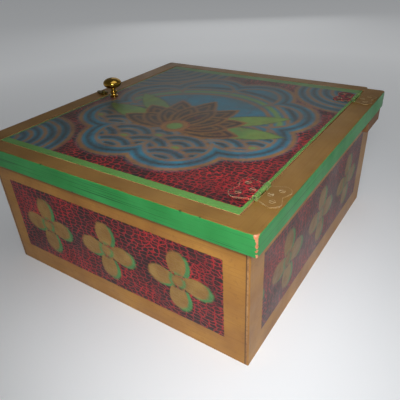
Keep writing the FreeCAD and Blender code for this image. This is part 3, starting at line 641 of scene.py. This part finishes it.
def paint_lotus(inks, x, y):
    """Seven long petals behind six short ones, round a ringed heart."""
    petals = [(angle, 78 - abs(angle) * 0.14, 14.0) for angle in (-84, 84, -56, 56, -28, 28, 0)]
    petals += [(angle, 58 - abs(angle) * 0.08, 12.5) for angle in (-70, 70, -42, 42, -14, 14)]
    for angle, length, half_width in petals:
        turn = math.radians(angle)
        tip = (LOTUS_FOOT[0] + length * math.sin(turn), LOTUS_FOOT[1] + length * math.cos(turn))
        shape = petal(x, y, LOTUS_FOOT, tip, half_width)
        lines = np.minimum(np.abs(shape) - 1.2, np.abs(shape + half_width * 0.5) - 0.7)
        cover(inks, shape, dark=shape, gold=lines)
    heart = disc(x, y, (LOTUS_FOOT[0], LOTUS_FOOT[1] + 2), 14)
    core = heart + 5.5
    cover(inks, heart, gold=np.maximum(heart, -core), green=core)


def lid_design(x, y):
    """Distances to the edges of the lid's paints: a lotus over wave scallops in a lobed blue field."""
    low = LID[0][:2] + (STRIPE["-x"], STRIPE["-y"])
    high = LID[1][:2] - (STRIPE["+x"], STRIPE["+y"])
    half = (high - low) / 2
    x, y = x - low[0] - half[0], y - low[1] - half[1]
    inks = {name: np.full(len(x), FAR) for name in ("blue", "dark", "green", "gold")}
    paint_ripples(inks, x, y, half)
    inside = paint_medallion(inks, x, y)
    paint_halo(inks, x, y, inside)
    paint_waves(inks, x, y, inside)
    paint_leaves(inks, x, y)
    paint_lotus(inks, x, y)
    inks["border"] = np.minimum(half[0] - np.abs(x), half[1] - np.abs(y))
    return inks


def lid_paint():
    """The lid's top: airbrushed stencils on a crackled ground inside a green stripe, under varnish.

    Sprayed paint has soft edges and lies flat, so only the crackle and the brushed stripe have relief.
    The old varnish has gone cloudy, most of all at the back left, which dulls the paint there. The same
    grey wash is also painted haze, for light reflected off the far lid.
    """
    made, tree = new_material("airbrushed enamel on lid")
    place = place_in_mm(tree)
    x, y, z = add(tree, "ShaderNodeSeparateXYZ", {0: place}, out=None).outputs
    plane = add(tree, "ShaderNodeCombineXYZ", {0: x, 1: y})
    tone, cracks = crackled_paint(tree, plane)
    tone = layered(tree, tone, (0.25, "#1E1413"))
    # Each paint's softness and raggedness at its edges, and its two tones
    paints = {
        "blue": (6.0, 3.0, "#1E5260", "#327A94"),
        "dark": (3.0, 1.6, "#241C19", "#3E3029"),
        "green": (2.2, 1.4, "#4C7438", "#758F46"),
        "gold": (2.3, 1.5, "#774C21", "#946933"),
    }
    for name, (soft, ragged, first, second) in paints.items():
        distance = add(tree, "ShaderNodeAttribute", attribute_name=name, out="Fac")
        mask = inked(tree, distance, soft, place, ragged=ragged)
        spray = wander(tree, place, 14, (0.3, 0.55), (0.75, 1.0), detail=5.0)
        mask = add(tree, MATH, {0: mask, 1: spray}, operation="MULTIPLY")
        tone = layered(tree, tone, (mask, cloudy(tree, place, 26, first, second)))
        left = add(tree, MATH, {0: 1.0, 1: mask}, operation="SUBTRACT")
        cracks = add(tree, MATH, {0: cracks, 1: left}, operation="MULTIPLY")
    border = add(tree, "ShaderNodeAttribute", attribute_name="border", out="Fac")
    stripe = inked(tree, border, 0.35, place, ragged=0.5, grain=5.0)
    green, marks = green_paint(tree, place, x, y, z)
    green = layered(tree, green, (0.4, "#7E8A40"))
    # Painted haze: a grey wash that grows towards the back left, for cloudy varnish and reflected light
    away = add(tree, MATH, {0: y, 1: x}, operation="SUBTRACT")
    patches = add(tree, NOISE, {"Vector": place, "Scale": 1 / 60, "Detail": 3.0})
    away = add(tree, MATH, {0: patches, 1: 120.0, 2: away}, operation="MULTIPLY_ADD")
    haze = add(tree, RANGE, {0: away, 1: -110.0, 2: 260.0, 4: 0.5})
    tone = layered(tree, tone, (stripe, green), (haze, "#4E5148"))
    varnished(tree, place, tone, (marks, 0.05), (cracks, 0.1))
    return made


def build_lid():
    bare = wood_finish("planed softwood of the lid", "y")
    sides = ("-x", "-y", "+x", "+y", "+z")
    lid, places = board("painted_lid", LID, LID_STEP, LID_ROUND, sides, {"+z": lid_paint(), "": bare})
    for name, distance in lid_design(places[:, 0], places[:, 1]).items():
        mark(lid, name, np.clip(distance, -FAR, FAR))
    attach(lid, "lid")
    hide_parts("lid_panel")


# Metal

def metal(name, tone, dull, roughness, patch):
    """Worn metal: bright where it is handled, dulled in patches, with fine scratches in its gloss."""
    made, tree = new_material(name)
    place = place_in_mm(tree)
    patches = cloudy(tree, place, patch, tone, dull)
    gloss = wander(tree, place, patch / 3, values=(roughness * 0.7, roughness * 1.4), detail=5.0)
    shade(tree, {"Base Color": patches, "Metallic": 1.0, "Roughness": gloss})
    return made


BARREL_REACH = 2.3


def hinge_paint(name, ground):
    """Stamped brass painted over with what lies under it, rubbed to pale metal along its raised edges."""
    made, tree = new_material(name)
    place = place_in_mm(tree)
    x, y = add(tree, "ShaderNodeSeparateXYZ", {0: place}, out=None).outputs[:2]
    tone, height = ground(tree, place, x, y)
    beyond = {0: apart(tree, x, HINGE_X), 1: BARREL_REACH}
    barrel = inked(tree, add(tree, MATH, beyond, operation="SUBTRACT"), 0.3, place, ragged=0.4)
    green = cloudy(tree, place, 6, "#4E7A3C", "#6E8F4A")
    tone = layered(tree, tone, (barrel, green))
    smooth = add(tree, "ShaderNodeBevel", {"Radius": 0.7 * MM}, samples=6)
    flat = add(tree, "ShaderNodeNewGeometry", out="Normal")
    same = add(tree, VECTOR, {0: smooth, 1: flat}, out="Value", operation="DOT_PRODUCT")
    noise = add(tree, NOISE, {"Vector": place, "Scale": 1 / 2.2, "Detail": 4.0})
    same = add(tree, MATH, {0: noise, 1: 0.3, 2: same}, operation="MULTIPLY_ADD")
    rubbed = add(tree, RANGE, {0: same, 1: 1.1, 2: 1.03, 4: 0.85})
    tone = layered(tree, tone, (rubbed, cloudy(tree, place, 4, "#C9BA98", "#A58F62")))
    varnished(tree, place, tone, (height, 0.08))
    return made


def gold_ground(tree, place, x, y):
    return gold_paint(tree, place, "y", *RAIL_GOLD)


def crackle_ground(tree, place, x, y):
    return crackled_paint(tree, add(tree, "ShaderNodeCombineXYZ", {0: x, 1: y}))


def dress(look, *names):
    """Give CAD nodes a material."""
    for name in names:
        nodes[name].data.materials.clear()
        nodes[name].data.materials.append(look)


def dress_cad_nodes():
    front, back = FRONT_WALL[0][1], box_mm("back_wall")[1][1]
    left, right = LEFT_WALL[0][0], RIGHT_WALL[1][0]
    long, deep = (left, right), (RIGHT_WALL[0][1], RIGHT_WALL[1][1])
    # Each wall's run and ends, its outside's axis and place, and its wash of cloudy varnish and painted
    # shade
    walls = {
        "front": ("x", long, "y", front, 0.08),
        "back": ("x", long, "y", back, 0.2),
        # The right wall's stronger wash is painted shade on the side that lies in shade
        "right": ("y", deep, "x", right, 0.35),
        "left": ("y", deep, "x", left, 0.2),
    }
    for side, plan in walls.items():
        dress(wall_paint(f"varnished enamel on {side} wall", *plan), f"{side}_wall")
    dress(wood_finish("brown stained batten", "y", pale="#8C6038", dark="#6C4526"), "rail_block")
    dress(wood_finish("planed softwood of the inside", "y"), "floor_panel", "lid_stop")
    dress(wood_finish("turned softwood", "x"), "spring_base", "neck_disc", "neck_dowel")
    dress(metal("polished brass", "#D2A94A", "#AE8A3A", 0.13, 9), "lid_knob")
    dress(metal("aged brass", "#8F7F45", "#5E5128", 0.34, 3), "catch_button", "catch_washer", "catch_screw")
    steel = metal("zinc plated steel", "#B4B4B0", "#8C8C88", 0.35, 5)
    dress(steel, "hinge_pins", "knob_washer", "knob_screw", "base_screws", "base_staples", "disc_staples")
    dress(hinge_paint("painted brass on rail", gold_ground), "front_hinge_rail_leaf", "back_hinge_rail_leaf",
          "rail_leaf_screws")
    dress(hinge_paint("painted brass on lid", crackle_ground), "front_hinge_lid_leaf", "back_hinge_lid_leaf",
          "lid_leaf_screws")


# The jack, whose sleeve and spring are laid out as they stand when it is up, and let down from there

SLEEVE_FOLDS = 12
FOLD_DEPTH = 9.5
SPRING_TURNS = 6
WIRE_RADIUS = 1.0
LOW_END, HIGH_END = SPRING_BASE[1][2], NECK_DISC[0][2]


def let_down(height_up):
    """Height at rest of a point of the sleeve or spring, from its height above the base with the jack up."""
    share = np.linspace(0, 1, 4001)
    gap = HIGH_END - LOW_END
    up = gap * share + RISE * share ** 2 * (3 - 2 * share)
    return LOW_END + np.interp(height_up, up, gap * share)


def grid_faces(rows, columns):
    """Quads of a tube of rows of points, each row closed on itself."""
    faces = []
    for row in range(rows - 1):
        for column in range(columns):
            after = (column + 1) % columns
            faces.append((row * columns + column, row * columns + after,
                          (row + 1) * columns + after, (row + 1) * columns + column))
    return faces


def cloth(name, tone_of, thread, sheen=0.35):
    """Woven or felted cloth: matt, with a soft bloom of fibre at its edges.

    tone_of gives its colour and the height of its weave.
    """
    made, tree = new_material(name)
    tone, height = tone_of(tree)
    shade(tree, {"Base Color": tone, "Roughness": 0.85, "Sheen Weight": sheen, "Sheen Roughness": 0.4,
                 "Specular IOR Level": 0.2, "Normal": relief(tree, (height, thread))})
    return made


def sleeve_weave(tree):
    """Red cotton with narrow gold stripes down it, its threads showing as a fine check."""
    place = place_in_mm(tree)
    x, y = add(tree, "ShaderNodeSeparateXYZ", {0: place}, out=None).outputs[:2]
    length = add(tree, "ShaderNodeAttribute", attribute_name="length", out="Fac")
    angle = add(tree, MATH, {0: y, 1: x}, operation="ARCTAN2")
    stripes = add(tree, MATH, {0: angle, 1: 18.0}, operation="MULTIPLY")
    stripes = add(tree, MATH, {0: stripes}, operation="COSINE")
    gold = add(tree, RANGE, {0: stripes, 1: 0.72, 2: 0.8})
    threads = []
    for place_along, step in ((angle, 2 * math.pi * 400), (length, 2 * math.pi / 0.7)):
        turn = add(tree, MATH, {0: place_along, 1: step}, operation="MULTIPLY")
        threads.append(add(tree, MATH, {0: turn}, operation="SINE"))
    weave = add(tree, MATH, {0: threads[0], 1: threads[1]}, operation="MULTIPLY")
    weave = add(tree, RANGE, {0: weave, 1: -1.0, 2: 1.0})
    dark = add(tree, RANGE, {0: weave, 1: 0.5, 2: 0.1, 4: 0.4})
    red = cloudy(tree, place, 16, "#8F2A24", "#A4372C")
    return layered(tree, red, (gold, "#C39A48"), (dark, "#4E1512")), weave


def felt(first, second):
    """The tone and height of wool felt or yarn: an even colour under a tangle of pale fibres."""
    def tone_of(tree):
        place = place_in_mm(tree)
        fibre = {"Vector": place, "Scale": 1 / 0.5, "Detail": 5.0, "Distortion": 1.5}
        fibre = add(tree, NOISE, fibre)
        pale = add(tree, RANGE, {0: fibre, 1: 0.5, 2: 0.72, 4: 0.5})
        tone = cloudy(tree, place, 7, first, second)
        lighter = layered(tree, tone, (0.3, "#F0E6D2"))
        return layered(tree, tone, (pale, lighter)), fibre
    return tone_of


def build_sleeve():
    rows, columns = SLEEVE_FOLDS * 18 + 1, 144
    share = np.linspace(0, 1, rows)[:, None]
    angle = np.linspace(0, 2 * math.pi, columns, endpoint=False)[None, :]
    crest = 0.5 - 0.5 * np.cos(2 * math.pi * SLEEVE_FOLDS * share)
    slack = 1 - 0.05 * (1 + np.sin(3 * angle + 9 * share)) - 0.03 * (1 + np.sin(7 * angle - 23 * share))
    radius = SLEEVE[1][0] - FOLD_DEPTH + FOLD_DEPTH * crest ** 0.8 * slack
    tall = HIGH_END - LOW_END + RISE
    up = 0.3 + (tall - 0.6) * share - 2.2 * crest * (1 + 0.3 * np.sin(2 * angle + 5 * share))
    places = np.stack([radius * np.cos(angle), radius * np.sin(angle), let_down(up)], axis=2)
    outward, upward = [np.diff(line[:, 0], prepend=line[0, 0]) for line in (radius, up)]
    length = np.cumsum(np.hypot(outward, upward))
    sleeve = mesh_object("pleated_sleeve", places.reshape(-1, 3), grid_faces(rows, columns))
    mark(sleeve, "length", np.repeat(length, columns))
    sleeve.data.materials.append(cloth("plain woven cotton", sleeve_weave, 0.12))
    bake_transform(sleeve)
    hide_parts("jack_sleeve")


def build_spring():
    """A wire wound round the rise, laid out first along its centre line and then given its round section."""
    steps, sides = SPRING_TURNS * 60 + 1, 12
    share = np.linspace(0, 1, steps)[:, None]
    turn = 2 * math.pi * SPRING_TURNS * share
    tall = HIGH_END - LOW_END + RISE
    middle = SPRING[1][0] - WIRE_RADIUS
    height = let_down(WIRE_RADIUS + (tall - 2 * WIRE_RADIUS) * share)
    height = np.clip(height, LOW_END + WIRE_RADIUS, HIGH_END - WIRE_RADIUS)
    side = np.linspace(0, 2 * math.pi, sides, endpoint=False)[None, :]

    def ringed(wire_radius):
        radius = middle + wire_radius * np.cos(side)
        places = [radius * np.cos(turn), radius * np.sin(turn), height - wire_radius * np.sin(side)]
        return np.stack(places, axis=2).reshape(-1, 3)

    faces = grid_faces(steps, sides)
    faces.append(tuple(reversed(range(sides))))
    faces.append(tuple(range((steps - 1) * sides, steps * sides)))
    spring = mesh_object("coiled_spring", ringed(0.0), faces)
    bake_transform(spring)
    move_vertices(spring, ringed(WIRE_RADIUS))
    spring.data.materials.append(metal("drawn spring wire", "#8F9194", "#6E7072", 0.3, 4))
    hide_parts("jack_spring")


def turned(name, profile, columns=128):
    """A closed form turned about the jack's axis from (radius, height) points that run from pole to pole."""
    inner = profile[1:-1]
    angle = np.linspace(0, 2 * math.pi, columns, endpoint=False)
    places = [(r * math.cos(a), r * math.sin(a), z) for r, z in inner for a in angle]
    faces = grid_faces(len(inner), columns)
    for pole, row in ((profile[0], 0), (profile[-1], len(inner) - 1)):
        number = len(places)
        places.append((0, 0, pole[1]))
        for column in range(columns):
            pair = (row * columns + column, row * columns + (column + 1) % columns)
            faces.append((*pair, number) if row else (*reversed(pair), number))
    return mesh_object(name, places, faces), np.array(places)


def arc(centre, radius, start, end, count):
    """Points along an arc, with angles in degrees from straight out."""
    angles = np.radians(np.linspace(start, end, count))
    return [(centre[0] + radius * math.cos(a), centre[1] + radius * math.sin(a)) for a in angles]


HEAD_RADIUS = HEAD[1][0]
HEAD_MIDDLE = HEAD[1][2] - HEAD_RADIUS
EYE_ASIDE = 7.5
CHEEK_ASIDE = 12.4


def face_marks(x, y, z):
    """Distances to the edges of the painted face, with z from the head's middle."""
    eyes, glints, cheeks = [], [], []
    for side in (-1, 1):
        aside = x - side * EYE_ASIDE
        eyes.append(np.hypot(aside, (z - 1.4) * 0.75) - 1.9)
        lash = np.abs(np.hypot(aside, z + 0.6) - 5.2) - 0.4
        eyes.append(np.maximum(lash, 2.6 - z))
        glints.append(np.hypot(aside + 0.6, z - 2.3) - 0.55)
        cheeks.append(np.hypot(x - side * CHEEK_ASIDE, z + 5.2) - 3.4)
    mouth = np.maximum(np.abs(np.hypot(x, z + 1.5) - 8.5) - 0.5, z + 8.2)
    shapes = {"eyes": eyes, "mouth": [mouth], "glint": glints, "cheeks": cheeks}
    marks = {name: np.where(y < 0, np.min(edges, axis=0), FAR) for name, edges in shapes.items()}
    turn = np.arctan2(x, -y)
    marks["hair"] = np.maximum(4.0 + 1.3 * np.sin(14 * turn) * (np.abs(turn) > 1.2) - y, -9.0 - z)
    return marks


def head_paint():
    """Turned wood under satin enamel: an even flesh tone with a soft shine, and features put on by brush."""
    made, tree = new_material("satin enamel on head")
    place = place_in_mm(tree)
    tone = cloudy(tree, place, 14, "#DDAE86", "#D49F78")
    paints = {
        "cheeks": (2.4, "#C9604C", "#D0705A"),
        "hair": (0.25, "#4A2A18", "#5E3820"),
        "eyes": (0.16, "#1C1614", "#2A201C"),
        "mouth": (0.16, "#96281F", "#A83428"),
        "glint": (0.12, "#EFEAE0", "#F6F2EA"),
    }
    for name, (soft, first, second) in paints.items():
        distance = add(tree, "ShaderNodeAttribute", attribute_name=name, out="Fac")
        mask = inked(tree, distance, soft, place, ragged=0.08, grain=1.5)
        tone = layered(tree, tone, (mask, cloudy(tree, place, 5, first, second)))
    rings = streaks(tree, place, "z", 0.8, 30)
    shade(tree, {"Base Color": tone, "Roughness": 0.38, "Normal": relief(tree, (rings, 0.04)), **VARNISH})
    return made


def build_head():
    foot = math.degrees(math.asin((HEAD[0][2] - HEAD_MIDDLE) / HEAD_RADIUS))
    round_part = arc((0, HEAD_MIDDLE), HEAD_RADIUS, foot, 89, 90)
    flat = [(0, HEAD[0][2])] + [(round_part[0][0] * share, HEAD[0][2]) for share in (0.5, 0.94)]
    head, places = turned("painted_head", flat + round_part + [(0, HEAD[1][2])])
    for name, distance in face_marks(places[:, 0], places[:, 1], places[:, 2] - HEAD_MIDDLE).items():
        mark(head, name, np.clip(distance, -FAR, FAR))
    head.data.materials.append(head_paint())
    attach(head, "jack")
    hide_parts("jack_head")


BRIM_ROLL = 2.5
HAT_FELT = 1.4


def new_tree(name, inputs, output):
    """An empty tree of geometry nodes with its named inputs, and what they give."""
    tree = bpy.data.node_groups.new(name, "GeometryNodeTree")
    for socket, kind in inputs.items():
        tree.interface.new_socket(socket, in_out="INPUT", socket_type=f"NodeSocket{kind}")
    tree.interface.new_socket(output, in_out="OUTPUT", socket_type="NodeSocketGeometry")
    return tree, add(tree, "NodeGroupInput", out=None).outputs


def end_in_copies(tree, points, copy, turn, size, look):
    """End a tree with a copy on each point, all made one mesh of one material."""
    copies = {"Points": points, "Instance": copy, "Rotation": turn, "Scale": size}
    copies = add(tree, "GeometryNodeInstanceOnPoints", copies)
    copies = add(tree, "GeometryNodeRealizeInstances", {"Geometry": copies})
    copies = add(tree, "GeometryNodeSetMaterial", {"Geometry": copies, "Material": look})
    add(tree, "NodeGroupOutput", {0: copies}, out=None)
    return tree


def stitch_tree():
    """Thread stitches laid end to end along a line."""
    inputs = {"Line": "Geometry", "Count": "Int", "Size": "Vector", "Thread": "Material"}
    tree, given = new_tree("stitches", inputs, "Stitches")
    line = add(tree, "GeometryNodeMeshToCurve", {"Mesh": given["Line"]})
    spaced = {"Curve": line, "Count": given["Count"]}
    points = add(tree, "GeometryNodeCurveToPoints", spaced, out=None).outputs
    turn = add(tree, "FunctionNodeAlignRotationToVector", {"Vector": points["Tangent"]}, axis="X")
    stitch = add(tree, "GeometryNodeMeshUVSphere", {"Segments": 8, "Rings": 6, "Radius": 1.0})
    return end_in_copies(tree, points["Points"], stitch, turn, given["Size"], given["Thread"])


def yarn_tree():
    """Cut strands of yarn that stand out from a core, each leaning a little its own way."""
    inputs = {"Core": "Geometry", "Strands per area": "Float", "Length": "Float", "Radius": "Float",
              "Wool": "Material"}
    tree, given = new_tree("yarn", inputs, "Strands")
    spread = {"Mesh": given["Core"], "Density": given["Strands per area"], "Seed": 7}
    spread = add(tree, "GeometryNodeDistributePointsOnFaces", spread, out=None).outputs
    lean = add(tree, "FunctionNodeRandomValue", {0: (-0.4, -0.4, -3.1), 1: (0.4, 0.4, 3.1), "Seed": 3},
               data_type="FLOAT_VECTOR")
    turn = add(tree, "FunctionNodeRotateRotation", {"Rotation": spread["Rotation"], "Rotate By": lean},
               rotation_space="LOCAL")
    long = add(tree, "FunctionNodeRandomValue", {2: 0.82, 3: 1.0, "Seed": 5}, out=1, data_type="FLOAT")
    size = add(tree, MATH, {0: long, 1: given["Length"]}, operation="MULTIPLY")
    size = add(tree, "ShaderNodeCombineXYZ", {0: given["Radius"], 1: given["Radius"], 2: size})
    strand = {"Vertices": 6, "Side Segments": 3, "Radius": 1.0, "Depth": 1.0}
    strand = add(tree, "GeometryNodeMeshCylinder", strand)
    strand = add(tree, "GeometryNodeTransform", {"Geometry": strand, "Translation": (0, 0, 0.5)})
    return end_in_copies(tree, spread["Points"], strand, turn, size, given["Wool"])


def grow(name, source, tree, **inputs):
    """The mesh that a tree of geometry nodes makes from a source object, which is used up."""
    modifier = source.modifiers.new("grow", "NODES")
    modifier.node_group = tree
    for socket in tree.interface.items_tree:
        given = inputs.get(socket.name.lower().replace(" ", "_"))
        if given is not None:
            modifier[socket.identifier] = given
    shown = source.evaluated_get(bpy.context.evaluated_depsgraph_get())
    mesh = bpy.data.meshes.new_from_object(shown)
    mesh.name = name
    mesh.polygons.foreach_set("use_smooth", [True] * len(mesh.polygons))
    bpy.data.objects.remove(source)
    return new_object(name, mesh)


def line_object(name, places, closed):
    """A line of edges, to be sewn along."""
    count = len(places)
    mesh = bpy.data.meshes.new(name)
    edges = [(i, (i + 1) % count) for i in range(count if closed else count - 1)]
    mesh.from_pydata((np.array(places) * MM).tolist(), edges, [])
    return new_object(name, mesh)


def hat_shape(places):
    """A felt hat isn't quite round: its cone has soft dents and its tip leans back."""
    angle = np.arctan2(places[:, 1], places[:, 0])
    share = np.clip((places[:, 2] - HAT[0][2]) / (HAT[1][2] - HAT[0][2]), 0, 1)
    swell = 1 + 0.014 * np.sin(3 * angle + 4 * share) + 0.01 * np.sin(5 * angle - 6 * share)
    bent = places.copy()
    bent[:, :2] *= swell[:, None] - 0.02
    bent[:, 1] += 1.3 * share ** 2
    return bent


def build_hat(stitches):
    brim = HAT[1][0] - BRIM_ROLL
    low = HAT[0][2] + BRIM_ROLL
    tip = HAT[1][2]
    cone_foot = (brim - 1.5, HAT[0][2] + 2 * BRIM_ROLL)
    outside = [(cone_foot[0] + (2.4 - cone_foot[0]) * s, cone_foot[1] + (tip - 0.7 - cone_foot[1]) * s)
               for s in np.linspace(0.04, 1, 26)]
    inside = [(max(0.6, r - HAT_FELT), z - HAT_FELT) for r, z in outside]
    roll = arc((brim, low), BRIM_ROLL, 178, 470, 30)
    profile = [(0, inside[-1][1])] + inside[::-1] + roll + outside + [(0, tip)]
    hat, places = turned("felt_hat", profile)
    move_vertices(hat, hat_shape(places))
    hat.data.materials.append(cloth("green wool felt", felt("#1F5A36", "#2B6C42"), 0.25))
    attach(hat, "jack")
    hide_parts("jack_hat")
    angles = np.linspace(0, 2 * math.pi, 160, endpoint=False)
    band = cone_foot[0] - 1.6
    ring = [(band * math.cos(a), band * math.sin(a), cone_foot[1] + 2.4) for a in angles]
    seam = [(0, r, z) for r, z in outside[3:-2]]
    thread = cloth("gold sewing thread", felt("#C79B45", "#D8B160"), 0.1)
    lines = (("hat_band_stitches", ring, 44, True), ("hat_seam_stitches", seam, 11, False))
    for name, line, count, closed in lines:
        path = line_object(name, hat_shape(np.array(line)), closed)
        sewn = grow(name, path, stitches, count=count, size=(0.95 * MM, 0.3 * MM, 0.3 * MM), thread=thread)
        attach(sewn, "jack")


def build_pompom():
    core_radius = 1.3
    middle = (POMPOM[0] + POMPOM[1]) / 2
    core_profile = [(0, middle[2] - core_radius)] + arc((0, middle[2]), core_radius, -75, 75, 9)
    core = turned("pompom_core", core_profile + [(0, middle[2] + core_radius)], 18)[0]
    wool = cloth("gold wool yarn", felt("#C08F38", "#D9AE58"), 0.2, sheen=0.6)
    pompom = grow("wool_pompom", core, yarn_tree(), strands_per_area=2.2e7, length=2.75 * MM,
                  radius=0.26 * MM, wool=wool)
    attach(pompom, "jack")
    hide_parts("hat_pompom")


COLLAR_LOBES = 12
COLLAR_FELT = 1.0
COLLAR_HOLE = 9.0
COLLAR_WAVE = 1.5
# How far the upper layer keeps inside the lower one
UPPER_INSET = 5.5


def collar_layer(name, outer, middle, lift, look):
    """A scalloped ring of felt that ripples towards its edge."""
    rings, columns = 14, 288
    share = np.linspace(0, 1, rings)[:, None]
    angle = np.linspace(0, 2 * math.pi, columns, endpoint=False)[None, :]
    edge = outer - 2.6 * (1 - np.abs(np.cos(COLLAR_LOBES * angle / 2)) ** 0.7)
    radius = COLLAR_HOLE + (edge - COLLAR_HOLE) * share
    height = middle + share ** 1.6 * (lift + COLLAR_WAVE * np.cos(COLLAR_LOBES * angle))
    sides = []
    for up in (-0.5, 0.5):
        places = [radius * np.cos(angle), radius * np.sin(angle), height + up * COLLAR_FELT]
        sides.append(np.stack(places, axis=2).reshape(-1, 3))
    under = grid_faces(rings, columns)
    count = rings * columns
    upper = [tuple(count + i for i in reversed(face)) for face in under]
    rims = []
    for row, turn in ((0, 1), (rings - 1, -1)):
        for column in range(columns):
            here, after = row * columns + column, row * columns + (column + 1) % columns
            rims.append((here, after, count + after, count + here)[::-turn])
    collar = mesh_object(name, np.concatenate(sides), under + upper + rims)
    collar.data.materials.append(look)
    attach(collar, "jack")
    return collar


def build_collar():
    wide = COLLAR[1][0]
    narrow = wide - UPPER_INSET
    gold = cloth("gold wool felt", felt("#BF9540", "#D2AA58"), 0.25)
    red = cloth("red wool felt", felt("#8F2B25", "#A2382E"), 0.25)
    low = collar_layer("felt_collar_under", wide, COLLAR[0][2] + 0.6, 1.9, red)
    high = collar_layer("felt_collar", narrow, COLLAR[0][2] + 2.1, 2.2, gold)
    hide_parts("jack_collar")


def nose_paint():
    """Turned wood under satin enamel: a small bright red ball with a soft shine."""
    made, tree = new_material("satin enamel on nose")
    place = place_in_mm(tree)
    tone = cloudy(tree, place, 2.5, "#A42A20", "#B8392C")
    shade(tree, {"Base Color": tone, "Roughness": 0.32, **VARNISH})
    return made


def build_jack():
    dress(nose_paint(), "jack_nose")
    build_sleeve()
    build_spring()
    build_head()
    build_hat(stitch_tree())
    build_pompom()
    build_collar()


# Floor, light and camera

FLOOR_REACH = 40.0
FLOOR_DROP = 0.0002


def build_floor():
    """A pale matt table that lightens and glows a little away from the box, so it fades into the room."""
    mesh = bpy.data.meshes.new("floor")
    corners = [(x * FLOOR_REACH, y * FLOOR_REACH, 0) for x, y in ((-1, -1), (1, -1), (1, 1), (-1, 1))]
    mesh.from_pydata(corners, [], [(0, 1, 2, 3)])
    made, tree = new_material("pale matt table")
    away = add(tree, VECTOR, {0: place_in_mm(tree)}, out="Value", operation="LENGTH")
    away = add(tree, RANGE, {0: away, 1: 150.0, 2: 900.0})
    tone = layered(tree, "#E8EBEF", (away, "#FAFBFC"))
    glow = add(tree, MATH, {0: away, 1: 0.22}, operation="MULTIPLY")
    shade(tree, {"Base Color": tone, "Roughness": 0.9, "Specular IOR Level": 0.2,
                 "Emission Color": "#E9EDF2", "Emission Strength": glow})
    mesh.materials.append(made)
    table = new_object("floor", mesh)
    table.location.z = -FLOOR_DROP


def build_room():
    """A pale room that lights the box less from above than from the sides, and looks brighter than that."""
    world = bpy.data.worlds.new("pale room")
    bpy.context.scene.world = world
    world.use_nodes = True
    tree = world.node_tree
    tree.nodes.clear()
    direction = add(tree, "ShaderNodeTexCoord", out="Generated")
    height = add(tree, "ShaderNodeSeparateXYZ", {0: direction}, out="Z")
    strength = add(tree, RANGE, {0: height, 1: 0.2, 2: 0.6, 3: 0.2, 4: 0.1})
    seen = add(tree, "ShaderNodeLightPath", out="Is Camera Ray")
    strength = add(tree, MATH, {0: seen, 1: 0.4, 2: strength}, operation="MULTIPLY_ADD")
    sky = add(tree, "ShaderNodeBackground", {"Color": "#E2E2E0", "Strength": strength})
    add(tree, "ShaderNodeOutputWorld", {"Surface": sky}, out=None)


# Each lamp's place, target, size in metres, power in watts and spread in degrees
LAMPS = {
    "key": ((0.3, -0.44, 0.42), (0.135, -0.13, 0.1), 0.2, 0.5, 64),
    "overhead": ((0.4, 0.05, 1.5), (0, 0, 0.1), 1.2, 4.6, 180),
    "fill": ((-0.6, 1.1, 0.55), (0, 0, 0.05), 0.9, 0.85, 180),
}


def build_lamps():
    for name, (place, target, size, power, spread) in LAMPS.items():
        lamp = bpy.data.lights.new(name, "AREA")
        lamp.size = size
        lamp.energy = power
        lamp.spread = math.radians(spread)
        light = new_object(name, lamp)
        light.location = place
        light.rotation_mode = "QUATERNION"
        light.rotation_quaternion = (Vector(target) - Vector(place)).to_track_quat("-Z", "Y")


# The photograph's camera, fitted to the box's corners: degrees, and the lens for a 36 mm sensor
CAMERA_PLACE = (0.24006, -0.34511, 0.29476)
CAMERA_AZIMUTH, CAMERA_ELEVATION, CAMERA_ROLL = 35.01, 32.515, -3.084
CAMERA_LENS = 38.26
CAMERA_SHIFT = 0.0125


def build_camera():
    data = bpy.data.cameras.new("camera")
    data.sensor_width = 36.0
    data.lens = CAMERA_LENS
    data.shift_y = CAMERA_SHIFT
    data.clip_start = 0.01
    camera = new_object("camera", data)
    azimuth, elevation = math.radians(CAMERA_AZIMUTH), math.radians(CAMERA_ELEVATION)
    back = Vector((math.sin(azimuth) * math.cos(elevation), -math.cos(azimuth) * math.cos(elevation),
                   math.sin(elevation)))
    camera.location = CAMERA_PLACE
    camera.rotation_mode = "QUATERNION"
    roll = Quaternion((0, 0, 1), math.radians(CAMERA_ROLL))
    camera.rotation_quaternion = (-back).to_track_quat("-Z", "Y") @ roll
    bpy.context.scene.camera = camera


bpy.context.scene.view_settings.view_transform = "Standard"
build_camera()
build_floor()
build_room()
build_lamps()
dress_cad_nodes()
build_rails()
build_lid()
build_jack()

bpy.context.view_layer.update()
